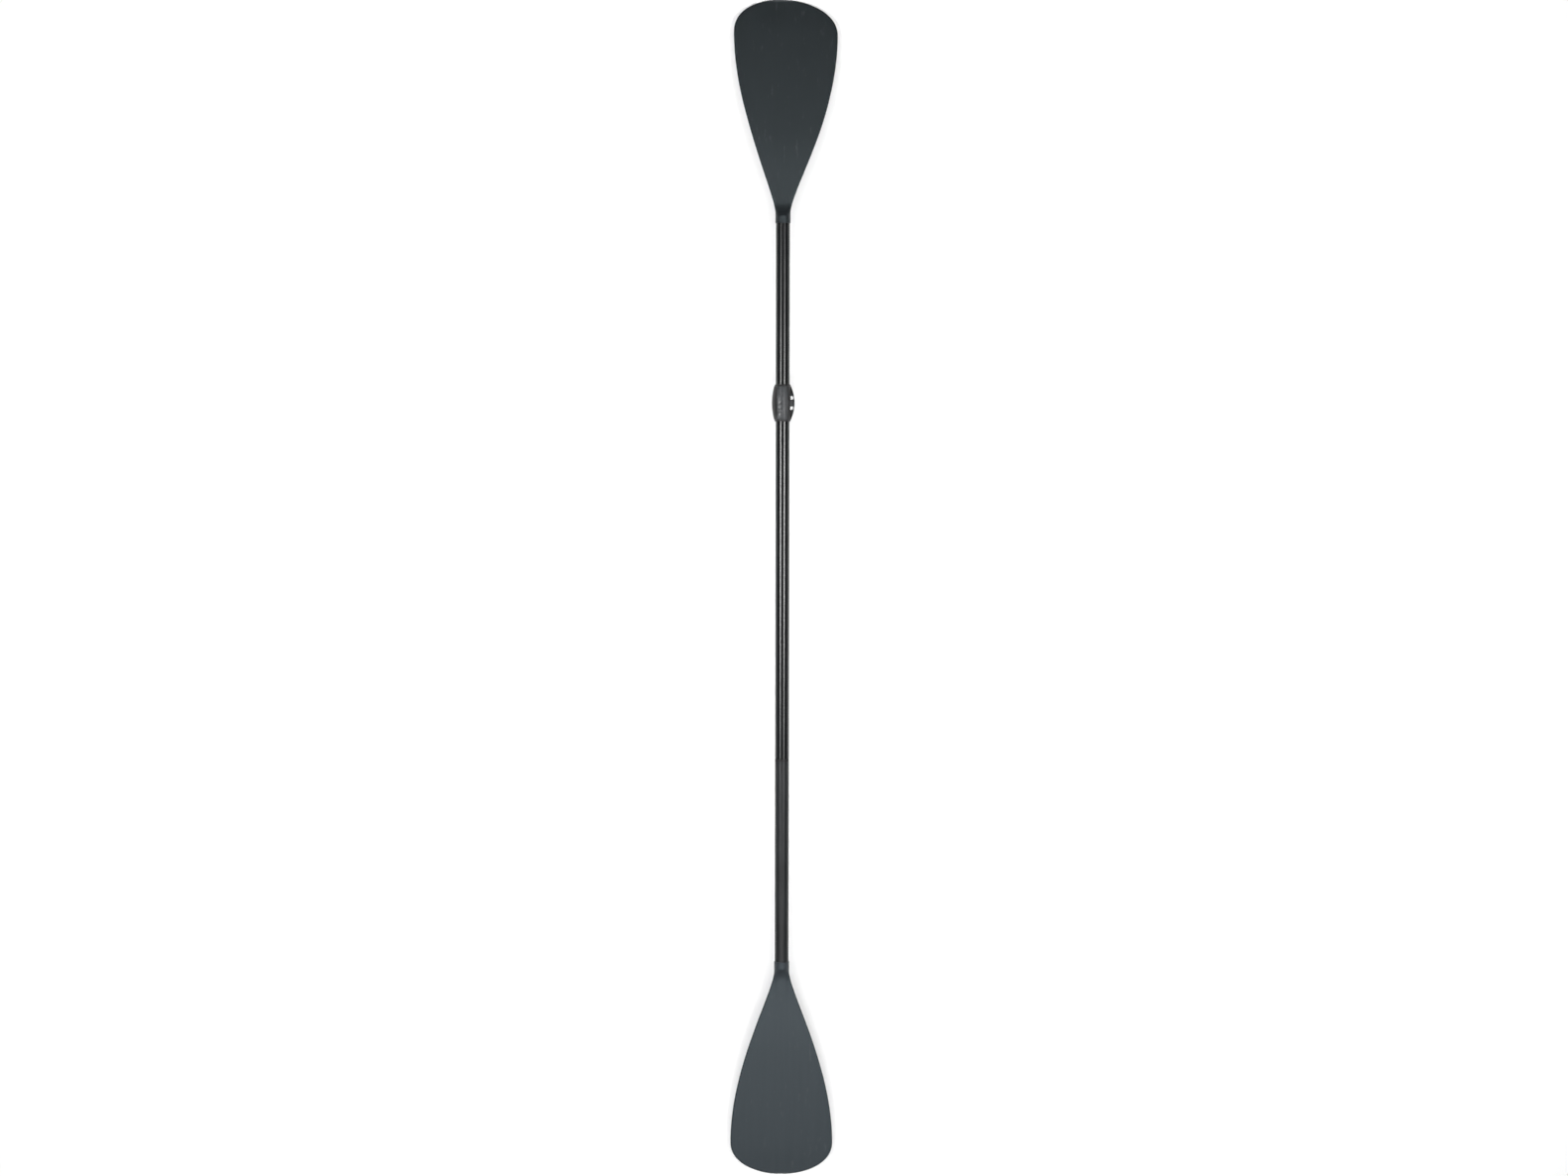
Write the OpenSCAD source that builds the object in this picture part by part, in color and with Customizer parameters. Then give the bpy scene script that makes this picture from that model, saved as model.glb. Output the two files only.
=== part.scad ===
// Take-apart, adjustable double-bladed paddle with an alloy shaft.
// It lies on its two blade tips, power faces up. X runs along the shaft, +Z is up.
// The origin is midway between the tips, on the surface that the tips rest on.

/* [Shaft tubes] */
// Outer diameter of the three shaft tubes
tube_d = 28; // [24:0.5:34]
// Wall of the shaft tubes
tube_wall = 1.2; // [0.8:0.1:2]
// Length of the upper tube, from the clamp to the blade's neck
upper_tube_l = 318.5; // [200:0.5:500]
// Length of the middle tube
middle_tube_l = 743.5; // [500:0.5:1000]
// Length of the lower tube, from the seam to the blade's neck
lower_tube_l = 403.5; // [250:0.5:600]
// Radial clearance of the tubes and bush that run in the shaft
run_gap = 0.075; // [0.02:0.005:0.1]

/* [Spigot in the clamp] */
// How far the upper section can be drawn out
adjust_travel = 150; // [50:5:200]
// Length of spigot that stays in the middle tube when it is drawn out
spigot_grip = 85; // [60:5:150]
// Length of spigot bonded into the upper tube
spigot_bond = 70; // [40:5:150]
// Wall of the spigot tube
spigot_wall = 1.2; // [0.8:0.1:2]
// Length of the end plug's shank inside the spigot tube
spigot_plug_l = 22; // [10:1:40]
// Thickness of the end plug's flange
spigot_flange_t = 3; // [2:0.5:6]
// Diameter of the journal that the guide bush turns on
journal_d = 14; // [10:0.5:17]
// Length of the guide bush
bush_l = 12; // [8:1:25]
// End play of the guide bush
bush_play = 0.2; // [0.1:0.05:0.5]
// Diameter of the screw's washer head
bush_screw_head_d = 18; // [17.5:0.5:20]
// Diameter of the screw's shank
bush_screw_d = 4; // [3:0.5:6]

/* [Lower joint] */
// Length of ferrule plugged into the middle tube
ferrule_grip = 90; // [60:5:150]
// Length of ferrule bonded into the lower tube
ferrule_bond = 70; // [40:5:150]
// Wall of the ferrule
ferrule_wall = 1.6; // [1:0.1:2.5]
// Length of the dark ring at the seam
joint_ring_l = 5; // [3:0.5:10]
// Length of the bung in the ferrule's inner end
ferrule_plug_l = 12; // [6:1:30]

/* [Snap button] */
// Distance from the middle tube's end to the button
button_inset = 30; // [20:1:50]
// Diameter of the button
button_d = 7; // [5:0.5:9]
// Radial clearance of the button in its holes
button_gap = 0.1; // [0.05:0.05:0.3]
// How far the button stands proud of the shaft
button_proud = 2.8; // [1:0.1:4]
// Thickness of the button's inner flange
button_flange_t = 1; // [0.8:0.1:2]
// How far the flange reaches past the button's side
button_flange_lip = 1.2; // [0.8:0.1:2]
// Width of the strip spring
spring_w = 7; // [5:0.5:9]
// Thickness of the strip spring
spring_t = 0.6; // [0.4:0.1:1]
// Length of the strip spring's legs
spring_l = 36; // [25:1:50]

/* [Blades] */
// Length of a blade from the tube's end to its tip
blade_l = 445; // [350:1:500]
// Widest width of a blade
blade_w = 206; // [150:1:240]
// Distance from the tip to the widest place
blade_wide_at = 68; // [50:1:110]
// Thickness along the middle of a blade
blade_t = 5; // [4:0.1:8]
// Thickness along the edge of a blade
blade_edge_t = 3; // [2:0.1:5]
// Angle that a blade leans back from the shaft's line
blade_rake = 8; // [4:0.5:14]
// Length over which a blade turns to its full angle
rake_bend = 160; // [80:10:300]
// How far the power face is dished across its width
blade_cup = 5; // [0:0.5:10]
// How far the blade's neck stands proud of the tube
neck_proud = 1; // [0.5:0.1:4]
// Length of the round neck before the blade widens
neck_l = 20; // [10:1:40]
// Half width of the straight stretch at the tip
tip_flat = 6; // [3:0.5:15]
// Length of the ridge behind the neck
spine_l = 250; // [120:5:330]
// Length over which the neck's front drops to a low ridge
throat_l = 34; // [20:1:80]
// Length over which the low ridge sinks into the power face
ridge_l = 150; // [90:5:250]
// Height of the low ridge, as a share of the neck's radius
ridge_share = 0.3; // [0:0.05:0.5]
// Slant of the upper blade's tip
upper_tip_slant = 3.5; // [0:0.5:8]
// Sideways offset of the upper blade's centre line
upper_sweep = 5; // [0:0.5:12]
// Length of the blade's plug inside the tube
blade_plug_l = 60; // [40:1:100]

/* [Blade rivets] */
// Distance from the tube's end to the rivet
rivet_inset = 25; // [12:1:40]
// Diameter of the rivet's shank
rivet_d = 4; // [3:0.2:5]
// Diameter of the rivet's head
rivet_head_d = 8; // [6:0.5:10]
// Height of the rivet's head
rivet_head_h = 1.5; // [1:0.1:2.5]
// Depth of the rivet from the tube's surface
rivet_l = 10; // [6:0.5:13]

/* [Clamp collar] */
// Length of the collar along the shaft
collar_l = 73.5; // [60:0.5:90]
// Wall of the collar at its middle
collar_wall = 7.3; // [5:0.1:10]
// Wall of the collar at its ends
collar_end_wall = 0.9; // [0.5:0.1:2]
// Radius of the collar's barrel curve
collar_swell_r = 130; // [100:5:200]
// Radius of the round on the collar's ends
collar_round = 3; // [1:0.5:5]
// Thickness of the lip that stops the upper tube
collar_lip = 3.5; // [2:0.5:6]
// Clearance between the lip and the spigot
lip_gap = 0.3; // [0.2:0.05:0.6]
// Width of the slit through the collar
slit_w = 3; // [2:0.5:5]
// Width of the slits in the middle tube's end
kerf_w = 2; // [1.5:0.1:3]
// Length of the slits in the middle tube's end
kerf_l = 48; // [30:1:60]
// Half length of the ears along the shaft
ear_half_l = 31; // [25:0.5:35]
// How far the ears reach past the tube's surface
ear_reach = 9.6; // [8:0.1:13]
// Distance of the rear ear's back from the shaft's axis
ear_back = 11.5; // [10:0.5:14]
// Radius of the ears' curve along the shaft
ear_swell_r = 78; // [60:1:150]

/* [Clamp lever] */
// Distance of the lever pin from the tube's surface, sideways
pin_out = 3.3; // [3:0.1:5]
// Height of the lever pin over the tube's highest line
pin_rise = 0.5; // [0:0.1:3]
// Diameter of the lever pin
pin_d = 8; // [7:0.1:9]
// Half length of the lever pin
pin_half_l = 16; // [14:0.5:20]
// Radial clearance of the pin in the lever's hub
pin_gap = 0.05; // [0.02:0.01:0.1]
// Radius of the lever's hub
hub_r = 6.5; // [6:0.1:7.5]
// Radius of the hub's barrel curve
hub_swell_r = 75; // [60:1:150]
// Eccentric throw of the cam
cam_throw = 0.6; // [0.2:0.1:1]
// Clearance of the lever around the collar
lever_gap = 0.4; // [0.3:0.05:0.8]
// Thickness of the lever over the collar's middle
lever_t = 3.4; // [2.5:0.1:5]
// Half length of the lever along the shaft
lever_half_l = 33; // [28:0.5:36]
// How far the lever reaches past the shaft's centre line
lever_reach = 11.2; // [8:0.1:14]
// Pitch of the finger grooves
groove_pitch = 17.5; // [12:0.5:20]
// Width of the deep finger grooves
groove_w = 2.2; // [1.5:0.1:3]
// Depth of the deep finger grooves
groove_depth = 1.4; // [0.8:0.1:2]
// Where the finger grooves start, from the shaft's centre line
groove_start = 0.4; // [-2:0.1:4]
// Shift of the middle groove from the clamp's middle
groove_shift = -2.3; // [-6:0.1:6]
// Opening angle of the lever
lever_open = 150; // [90:5:150]

/* [Clamp bolts] */
// Distance between the two clamp bolts
bolt_pitch = 20; // [16:0.5:24]
// Diameter of the clamp bolts
bolt_d = 4; // [3:0.5:5]
// Clearance around the bolts
bolt_gap = 0.3; // [0.2:0.05:0.5]
// Diameter of the bolt heads
bolt_head_d = 7; // [6:0.5:8]
// Height of the bolt heads
bolt_head_h = 3.6; // [3:0.1:4]
// Width across the bolt heads' hexagon socket
bolt_hex = 3; // [2:0.1:4]
// Thickness of the wear pad under the cam
pad_t = 1; // [0.6:0.1:1.5]
// Gap between the cam and the wear pad
pad_gap = 0.3; // [0.2:0.05:0.5]

/* [Hidden] */
$fn = 96;
e = 0.01;              // a cut's overrun

tube_r = tube_d / 2;
bore_r = tube_r - tube_wall;
run_r = bore_r - run_gap;                      // what slides or plugs into a shaft tube
spigot_bore_r = run_r - spigot_wall;
ferrule_bore_r = run_r - ferrule_wall;

// places along the shaft
total_l = 2 * blade_l + upper_tube_l + collar_lip + middle_tube_l + joint_ring_l + lower_tube_l;
x_lower_neck = blade_l - total_l / 2;
x_ring = x_lower_neck + lower_tube_l;
x_middle = x_ring + joint_ring_l;
x_middle_top = x_middle + middle_tube_l;
x_collar_top = x_middle_top + collar_lip;
x_upper_neck = x_collar_top + upper_tube_l;
x_clamp = x_collar_top - collar_l / 2;
x_spigot = x_collar_top - adjust_travel - spigot_grip;
x_button = x_middle + button_inset;

// the blade's outline, as curves from the tip to the widest place and on to the neck
tip_handle = 30;
tip_side_handle = 52;
flank_handle = 162;
neck_handle = 41;
neck_r = tube_r + neck_proud;
rake_start = neck_l;
across = 20;           // strips across each face
ring = 2 * across;     // points round one section
tip_steps = 10;
flank_steps = 22;
plate_blend = 1.5;     // softness of the step from plate to ridge

function rake_drop(u) = let (t = max(0, u - rake_start))
    tan(blade_rake) * (t < rake_bend ? t * t / (2 * rake_bend) : t - rake_bend / 2);
axis_z = rake_drop(blade_l) + blade_edge_t / 2;

// clamp places, from the shaft's axis
collar_r = tube_r + collar_wall;
pin_y = -(tube_r + pin_out);
pin_z = tube_r + pin_rise;
pad_z = pin_z - hub_r - cam_throw - pad_gap - pad_t;
ear_y = -(tube_r + ear_reach);
hub_clear_r = hub_r + cam_throw + pad_gap;
hub_half_l = pin_half_l + 0.5;
recess_half_l = hub_half_l + 1;
recess_y = -(tube_r + 1.4);                    // inner wall of the ears' recess for the cam
lever_root_y = pin_y + 4.2;                    // where the lever's shell leaves its hub
ear_root = 4;                                  // how far the ears' block reaches into the barrel
pad_side_gap = 0.2;
screw_depth = 6;                               // how deep the screw reaches past the journal
bolt_sink = 0.4;                               // how deep the bolt heads sit in the rear ear
tip_gap = 0.5;                                 // how far bolts and rivets end short of their place's end

// the button's flange rests inside the ferrule, below the shaft's axis
flange_r = button_d / 2 + button_flange_lip;
flange_z = -sqrt(ferrule_bore_r * ferrule_bore_r - flange_r * flange_r) + 0.15;

function smooth(t) = let (c = min(1, max(0, t))) c * c * (3 - 2 * c);
function soft_max(a, b) = (a + b + sqrt((a - b) * (a - b) + plate_blend * plate_blend)) / 2;
function bezier(p, t) = pow(1 - t, 3) * p[0] + 3 * t * pow(1 - t, 2) * p[1]
    + 3 * t * t * (1 - t) * p[2] + pow(t, 3) * p[3];

// children stand on the shaft's axis at x, with their own z along the shaft
module on_shaft(x) {
    translate([x, 0, axis_z]) rotate([90, 0, 90]) children();
}

// children are placed from the clamp's middle on the shaft's axis
module at_clamp() {
    translate([x_clamp, 0, axis_z]) children();
}

// a round hole or pin along z, at each clamp bolt
module each_bolt() {
    for (side = [-1, 1]) translate([side * bolt_pitch / 2, pin_y, 0]) children();
}

module shaft_tube(x, length, outer_r, inner_r) {
    on_shaft(x) difference() {
        cylinder(r = outer_r, h = length);
        translate([0, 0, -e]) cylinder(r = inner_r, h = length + 2 * e);
    }
}

// a round hole through the shaft's back at x
module back_hole(x, r) {
    translate([x, 0, axis_z - tube_r - 1]) cylinder(r = r, h = tube_r + 1);
}

// distance from the tip and half width, from the tip to the neck
function outline() = let (
        wide = blade_w / 2,
        neck_at = blade_l - neck_l,
        tip = [[0, tip_flat], [0, tip_flat + tip_handle],
               [blade_wide_at - tip_side_handle, wide], [blade_wide_at, wide]],
        flank = [[blade_wide_at, wide], [blade_wide_at + flank_handle, wide],
                 [neck_at - neck_handle, neck_r], [neck_at, neck_r]])
    concat([for (i = [0 : tip_steps]) bezier(tip, pow(i / tip_steps, 1.3))],
           [for (i = [1 : flank_steps]) bezier(flank, i / flank_steps)],
           [[blade_l - neck_l / 2, neck_r], [blade_l, neck_r]]);

// half thickness of the plate at a place across it, from its middle at 0 to its edges at 90
function plate_half(s, a) = let (edge = blade_edge_t / 2, middle = (blade_t - blade_edge_t) / 2)
    edge * (0.5 + 0.5 * min(1, s / 3)) * pow(abs(cos(a)), 0.3) + middle * smooth(s / 60) * pow(cos(a), 2);

// share of the neck's round core that is left at u, where it sinks over a length
function core_share(u, length) = 1 - smooth((u - neck_l / 2) / length);
function front_share(u) = (1 - ridge_share) * core_share(u, throat_l) + ridge_share * core_share(u, ridge_l);

// one closed ring of points, across the front from edge to edge and back across the rear
function section(s, w, slant, sweep) = let (u = blade_l - s)
    [for (k = [0 : ring - 1])
        let (face = k <= across ? 1 : -1,
             a = face * (k * 180 / across - 90) + (k <= across ? 0 : 180),
             y = w * sin(a),
             share = face > 0 ? front_share(u) : core_share(u, spine_l),
             core = share * sqrt(max(0, neck_r * neck_r - y * y)),
             plate = plate_half(s, a),
             dish = blade_cup * pow(2 * y / blade_w, 2) * smooth((u - neck_l) / 200),
             half = u <= neck_l / 2 ? neck_r * abs(cos(a)) : soft_max(core, plate) * pow(abs(cos(a)), 0.15))
        [u + y * tan(slant) * pow(u / blade_l, 2),
         y - sweep * smooth((u - neck_l) / 200),
         dish - rake_drop(u) + (k % across == 0 ? 0 : face * half)]];

// triangles across a ring that starts at a point, seen from its tip side
function cap(first) = [for (k = [0 : across - 1])
    let (a = first + k, b = a + 1, c = first + ring - k - 1, d = first + (ring - k) % ring)
    each concat(b == c ? [] : [[a, b, c]], a == d ? [] : [[a, c, d]])];
function flipped(faces) = [for (f = faces) [f[0], f[2], f[1]]];

module blade_body(slant, sweep) {
    stations = outline();
    count = len(stations);
    points = [for (p = stations) each section(p[0], p[1], slant, sweep)];
    sides = [for (i = [0 : count - 2], k = [0 : ring - 1])
        let (a = i * ring + k, b = i * ring + (k + 1) % ring)
        each [[b, a, a + ring], [b, a + ring, b + ring]]];
    polyhedron(points = points, faces = concat(sides, cap(0), flipped(cap((count - 1) * ring))), convexity = 6);
}

// a blade with its neck's end at 0 and its tip towards +X
module blade(slant, sweep) {
    difference() {
        union() {
            blade_body(slant, sweep);
            translate([-blade_plug_l, 0, 0]) rotate([0, 90, 0])
                cylinder(r = run_r, h = blade_plug_l + neck_l / 2);
        }
        translate([-rivet_inset, 0, -tube_r]) cylinder(d = rivet_d, h = rivet_l);
    }
}

module upper_blade() {
    color([0.17, 0.19, 0.20]) translate([x_upper_neck, 0, axis_z]) blade(upper_tip_slant, upper_sweep);
}

module lower_blade() {
    color([0.28, 0.30, 0.32]) translate([x_lower_neck, 0, axis_z]) mirror([1, 0, 0]) blade(0, 0);
}

// a blind rivet in the shaft's back at x, with a domed head
module blade_rivet(x) {
    dome_r = rivet_head_d * rivet_head_d / (8 * rivet_head_h) + rivet_head_h / 2;
    color([0.55, 0.56, 0.58]) translate([x, 0, axis_z - tube_r]) {
        cylinder(d = rivet_d, h = rivet_l - tip_gap);
        intersection() {
            translate([0, 0, dome_r - rivet_head_h]) sphere(r = dome_r);
            translate([0, 0, -rivet_head_h]) cylinder(d = rivet_head_d, h = rivet_head_h);
        }
    }
}

module upper_blade_rivet() {
    blade_rivet(x_upper_neck - rivet_inset);
}

module lower_blade_rivet() {
    blade_rivet(x_lower_neck + rivet_inset);
}

module upper_tube() {
    color([0.10, 0.11, 0.12]) difference() {
        shaft_tube(x_collar_top, upper_tube_l, tube_r, bore_r);
        back_hole(x_upper_neck - rivet_inset, rivet_d / 2);
    }
}

module lower_tube() {
    color([0.16, 0.17, 0.18]) difference() {
        shaft_tube(x_lower_neck, lower_tube_l, tube_r, bore_r);
        back_hole(x_lower_neck + rivet_inset, rivet_d / 2);
    }
}

module spigot_tube() {
    color([0.6, 0.61, 0.63])
        shaft_tube(x_spigot, adjust_travel + spigot_grip + spigot_bond, run_r, spigot_bore_r);
}

module spigot_plug() {
    journal_l = bush_l + bush_play;
    color([0.12, 0.12, 0.13]) on_shaft(x_spigot) difference() {
        union() {
            cylinder(r = spigot_bore_r, h = spigot_plug_l);
            translate([0, 0, -spigot_flange_t]) cylinder(r = run_r, h = spigot_flange_t);
            translate([0, 0, -spigot_flange_t - journal_l]) cylinder(d = journal_d, h = journal_l);
        }
        translate([0, 0, -spigot_flange_t - journal_l - e])
            cylinder(d = bush_screw_d, h = journal_l + screw_depth + 2);
    }
}

module guide_bush() {
    color([0.85, 0.84, 0.8]) on_shaft(x_spigot - spigot_flange_t - bush_l - bush_play / 2) difference() {
        cylinder(r = run_r, h = bush_l);
        translate([0, 0, -e]) cylinder(d = journal_d + 2 * run_gap, h = bush_l + 2 * e);
    }
}

module bush_screw() {
    head_t = 2.5;
    hex_w = 3;
    hex_depth = 1.6;
    color([0.7, 0.71, 0.72])
        on_shaft(x_spigot - spigot_flange_t - bush_l - bush_play - head_t) {
            difference() {
                cylinder(d = bush_screw_head_d, h = head_t);
                translate([0, 0, -e]) cylinder(d = hex_w / cos(30), h = hex_depth, $fn = 6);
            }
            cylinder(d = bush_screw_d, h = head_t + bush_l + screw_depth);
        }
}

module middle_tube() {
    color([0.10, 0.11, 0.12]) difference() {
        shaft_tube(x_middle, middle_tube_l, tube_r, bore_r);
        back_hole(x_button, button_d / 2 + button_gap);
        translate([x_middle_top - kerf_l, -tube_r - 1, axis_z - kerf_w / 2])
            cube([kerf_l + e, tube_d + 2, kerf_w]);
    }
}

// radius of the barrel surface at a distance from the clamp's middle, grown by a margin
function barrel_r(grow, x) = collar_r + grow - collar_swell_r + sqrt(collar_swell_r * collar_swell_r - x * x);

// half a barrel's outline, with a round at its ends
function barrel_outline(grow, half) = let (
        corner = barrel_r(grow, half),
        fall = min(collar_round, corner - tube_r - collar_end_wall),
        end = [for (i = [0 : 6])
            [corner - fall * (1 - sin(i * 15)), half - collar_round * (1 - cos(i * 15))]],
        flat = half - collar_round)
    concat([[0, -half]], [for (p = end) [p[0], -p[1]]],
           [for (i = [-7 : 7]) [barrel_r(grow, i / 8 * flat), i / 8 * flat]],
           [for (i = [6 : -1 : 0]) end[i]], [[0, half]]);

// a barrel about the shaft, grown by a margin
module barrel(grow, half) {
    rotate([90, 0, 90]) rotate_extrude() polygon(barrel_outline(grow, half));
}

// the clamp's sideways outline, as an upright round block
module ear_outline() {
    translate([0, ear_y + ear_swell_r, -2 * tube_d]) cylinder(r = ear_swell_r, h = 4 * tube_d);
}

module clamp_collar() {
    color([0.13, 0.13, 0.14]) at_clamp() difference() {
        union() {
            barrel(0, collar_l / 2);
            intersection() {
                translate([-ear_half_l, ear_y, -ear_back])
                    cube([2 * ear_half_l, ear_reach + ear_root, ear_back + pad_z]);
                ear_outline();
            }
        }
        rotate([90, 0, 90]) {
            translate([0, 0, -collar_l / 2 - e]) cylinder(r = tube_r, h = collar_l - collar_lip + e);
            cylinder(r = run_r + lip_gap, h = collar_l);
        }
        translate([-collar_l / 2 - e, 2 * ear_y, -slit_w / 2]) cube([collar_l + 2 * e, -2 * ear_y, slit_w]);
        translate([-recess_half_l, pin_y, pin_z]) rotate([0, 90, 0])
            cylinder(r = hub_clear_r, h = 2 * recess_half_l);
        translate([-ear_half_l - e, 2 * ear_y, pad_z])
            cube([2 * ear_half_l + 2 * e, recess_y - 2 * ear_y, tube_r]);
        each_bolt() translate([0, 0, -tube_r]) cylinder(d = bolt_d + 2 * bolt_gap, h = 2 * tube_r);
        each_bolt() translate([0, 0, -ear_back - e])
            cylinder(d = bolt_head_d + 2 * bolt_gap, h = bolt_head_h + bolt_sink + 2 * e);
    }
}

// the slots that let the hub swing past the bolts, as sectors about the pin
module hub_slots() {
    bolt_half_angle = asin((bolt_d / 2 + 2 * bolt_gap) / (pin_d / 2));
    slot_from = 62;
    slot_to = 270 + bolt_half_angle;
    steps = 16;
    reach = 2 * hub_r;
    for (side = [-1, 1]) translate([side * bolt_pitch / 2 - bolt_d / 2 - 2 * bolt_gap, 0, 0])
        rotate([90, 0, 90]) linear_extrude(bolt_d + 4 * bolt_gap)
            polygon(concat([[0, 0]], [for (i = [0 : steps])
                let (a = slot_from + (slot_to - slot_from) * i / steps) reach * [cos(a), sin(a)]]));
}

// a groove across the lever's finger side, sunk below its barrel surface at x
module finger_groove(x) {
    floor_r = barrel_r(lever_gap + lever_t, x) - groove_depth;
    translate([x - groove_w / 2, 0, 0]) intersection() {
        translate([0, groove_start, 0]) cube([groove_w, tube_d, 3 * tube_d]);
        rotate([90, 0, 90]) difference() {
            cylinder(r = 2 * tube_d, h = groove_w);
            translate([0, 0, -e]) cylinder(r = floor_r, h = groove_w + 2 * e);
        }
    }
}

module clamp_lever() {
    color([0.16, 0.16, 0.17]) at_clamp() difference() {
        union() {
            intersection() {
                difference() {
                    barrel(lever_gap + lever_t, lever_half_l);
                    barrel(lever_gap, lever_half_l + 3);
                }
                translate([-lever_half_l, lever_root_y, 0])
                    cube([2 * lever_half_l, lever_reach - lever_root_y, 2 * tube_d]);
            }
            translate([0, pin_y, pin_z - cam_throw]) rotate([90, 0, 90]) rotate_extrude() intersection() {
                translate([0, -hub_half_l]) square([hub_r, 2 * hub_half_l]);
                translate([hub_r - hub_swell_r, 0]) circle(r = hub_swell_r);
            }
        }
        translate([-pin_half_l - 1, pin_y, pin_z]) rotate([0, 90, 0])
            cylinder(d = pin_d + 2 * pin_gap, h = 2 * hub_half_l + 2);
        translate([0, pin_y, pin_z]) hub_slots();
        for (i = [-1 : 1]) finger_groove(i * groove_pitch + groove_shift);
    }
}

module clamp_pin() {
    color([0.8, 0.81, 0.82]) at_clamp() difference() {
        translate([-pin_half_l, pin_y, pin_z]) rotate([0, 90, 0]) cylinder(d = pin_d, h = 2 * pin_half_l);
        each_bolt() translate([0, 0, pin_z - pin_d]) cylinder(d = bolt_d, h = 2 * pin_d);
    }
}

module clamp_bolts() {
    length = ear_back - bolt_sink + pin_z + pin_d / 2 - tip_gap;
    color([0.7, 0.71, 0.72]) at_clamp() each_bolt() translate([0, 0, bolt_sink - ear_back]) difference() {
        union() {
            cylinder(d = bolt_head_d, h = bolt_head_h);
            cylinder(d = bolt_d, h = length);
        }
        translate([0, 0, -e]) cylinder(d = bolt_hex / cos(30), h = bolt_head_h - 1.2, $fn = 6);
    }
}

module wear_pad() {
    inset = 0.8;
    half_l = pin_half_l + 2;
    color([0.6, 0.61, 0.62]) at_clamp() difference() {
        intersection() {
            translate([-half_l, ear_y + inset, pad_z])
                cube([2 * half_l, recess_y - pad_side_gap - ear_y - inset, pad_t]);
            translate([0, inset, 0]) ear_outline();
        }
        each_bolt() translate([0, 0, pad_z - 1]) cylinder(d = bolt_d + 2 * bolt_gap, h = pad_t + 2);
    }
}

module joint_ring() {
    color([0.06, 0.06, 0.06]) shaft_tube(x_ring, joint_ring_l, tube_r, run_r);
}

module ferrule() {
    color([0.6, 0.61, 0.63]) difference() {
        shaft_tube(x_ring - ferrule_bond, ferrule_bond + joint_ring_l + ferrule_grip, run_r, ferrule_bore_r);
        back_hole(x_button, button_d / 2 + button_gap);
    }
}

module ferrule_plug() {
    color([0.2, 0.2, 0.21])
        on_shaft(x_middle + ferrule_grip - ferrule_plug_l) cylinder(r = ferrule_bore_r, h = ferrule_plug_l);
}

module snap_button() {
    dome = 1.2;
    color([0.75, 0.76, 0.78]) translate([x_button, 0, axis_z]) {
        translate([0, 0, -tube_r - button_proud + dome])
            cylinder(d = button_d, h = flange_z + tube_r + button_proud - dome + e);
        translate([0, 0, -tube_r - button_proud]) cylinder(d1 = button_d - 2 * dome, d2 = button_d, h = dome);
        translate([0, 0, flange_z]) cylinder(r = flange_r, h = button_flange_t);
    }
}

// the spring's foot under the button, its bend and its long leg, cut from one strip
module snap_spring() {
    foot_z = flange_z + button_flange_t;
    top_gap = 0.1;
    top_z = sqrt(ferrule_bore_r * ferrule_bore_r - spring_w * spring_w / 4) - top_gap;
    bend_r = 3;
    foot = 6;
    color([0.78, 0.79, 0.8]) translate([x_button, spring_w / 2, axis_z]) rotate([90, 0, 0])
        linear_extrude(spring_w) {
            translate([-foot, foot_z]) square([2 * foot, spring_t]);
            polygon([[-foot, foot_z], [-foot, foot_z + spring_t],
                     [-spring_l, spring_t - bend_r], [-spring_l, -bend_r]]);
            difference() {
                translate([-spring_l, 0]) circle(r = bend_r);
                translate([-spring_l, 0]) circle(r = bend_r - spring_t);
                translate([-spring_l, -2 * bend_r]) square(4 * bend_r);
            }
            polygon([[-spring_l, bend_r], [-spring_l, bend_r - spring_t],
                     [foot, top_z - spring_t], [foot, top_z]]);
        }
}

upper_blade();
upper_blade_rivet();
upper_tube();
spigot_tube();
spigot_plug();
guide_bush();
bush_screw();
middle_tube();
clamp_collar();
clamp_lever();
clamp_pin();
clamp_bolts();
wear_pad();
joint_ring();
ferrule();
ferrule_plug();
snap_button();
snap_spring();
lower_tube();
lower_blade();
lower_blade_rivet();
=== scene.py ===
"""Looks of a take-apart kayak paddle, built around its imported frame.

Lengths are metres. X runs along the shaft towards the clamp's end, Z is up out of the power faces, and Y
goes across. Each sub-assembly is a class that takes its places from the frame's boxes, builds its meshes
and dresses them in its finishes.
"""

from __future__ import annotations

import logging
import math
from dataclasses import dataclass
from enum import Enum
from typing import Sequence

import bmesh
import bpy
import numpy as np
from mathutils import Matrix, Vector


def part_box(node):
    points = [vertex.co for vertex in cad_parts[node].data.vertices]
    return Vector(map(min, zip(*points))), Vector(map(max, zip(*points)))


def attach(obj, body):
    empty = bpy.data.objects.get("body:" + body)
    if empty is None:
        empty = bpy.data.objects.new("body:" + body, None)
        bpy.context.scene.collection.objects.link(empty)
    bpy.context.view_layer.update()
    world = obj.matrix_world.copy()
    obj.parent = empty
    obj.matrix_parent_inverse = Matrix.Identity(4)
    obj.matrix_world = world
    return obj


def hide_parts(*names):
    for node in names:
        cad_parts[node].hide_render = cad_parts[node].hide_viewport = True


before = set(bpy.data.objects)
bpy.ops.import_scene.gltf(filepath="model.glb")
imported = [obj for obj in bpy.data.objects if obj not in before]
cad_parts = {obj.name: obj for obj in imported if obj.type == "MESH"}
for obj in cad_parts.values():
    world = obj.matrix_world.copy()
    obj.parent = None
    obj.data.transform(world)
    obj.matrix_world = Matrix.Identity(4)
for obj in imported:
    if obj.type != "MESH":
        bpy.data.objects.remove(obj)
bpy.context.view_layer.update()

LOG = logging.getLogger("paddle")
SUNK = "sunk"
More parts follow.
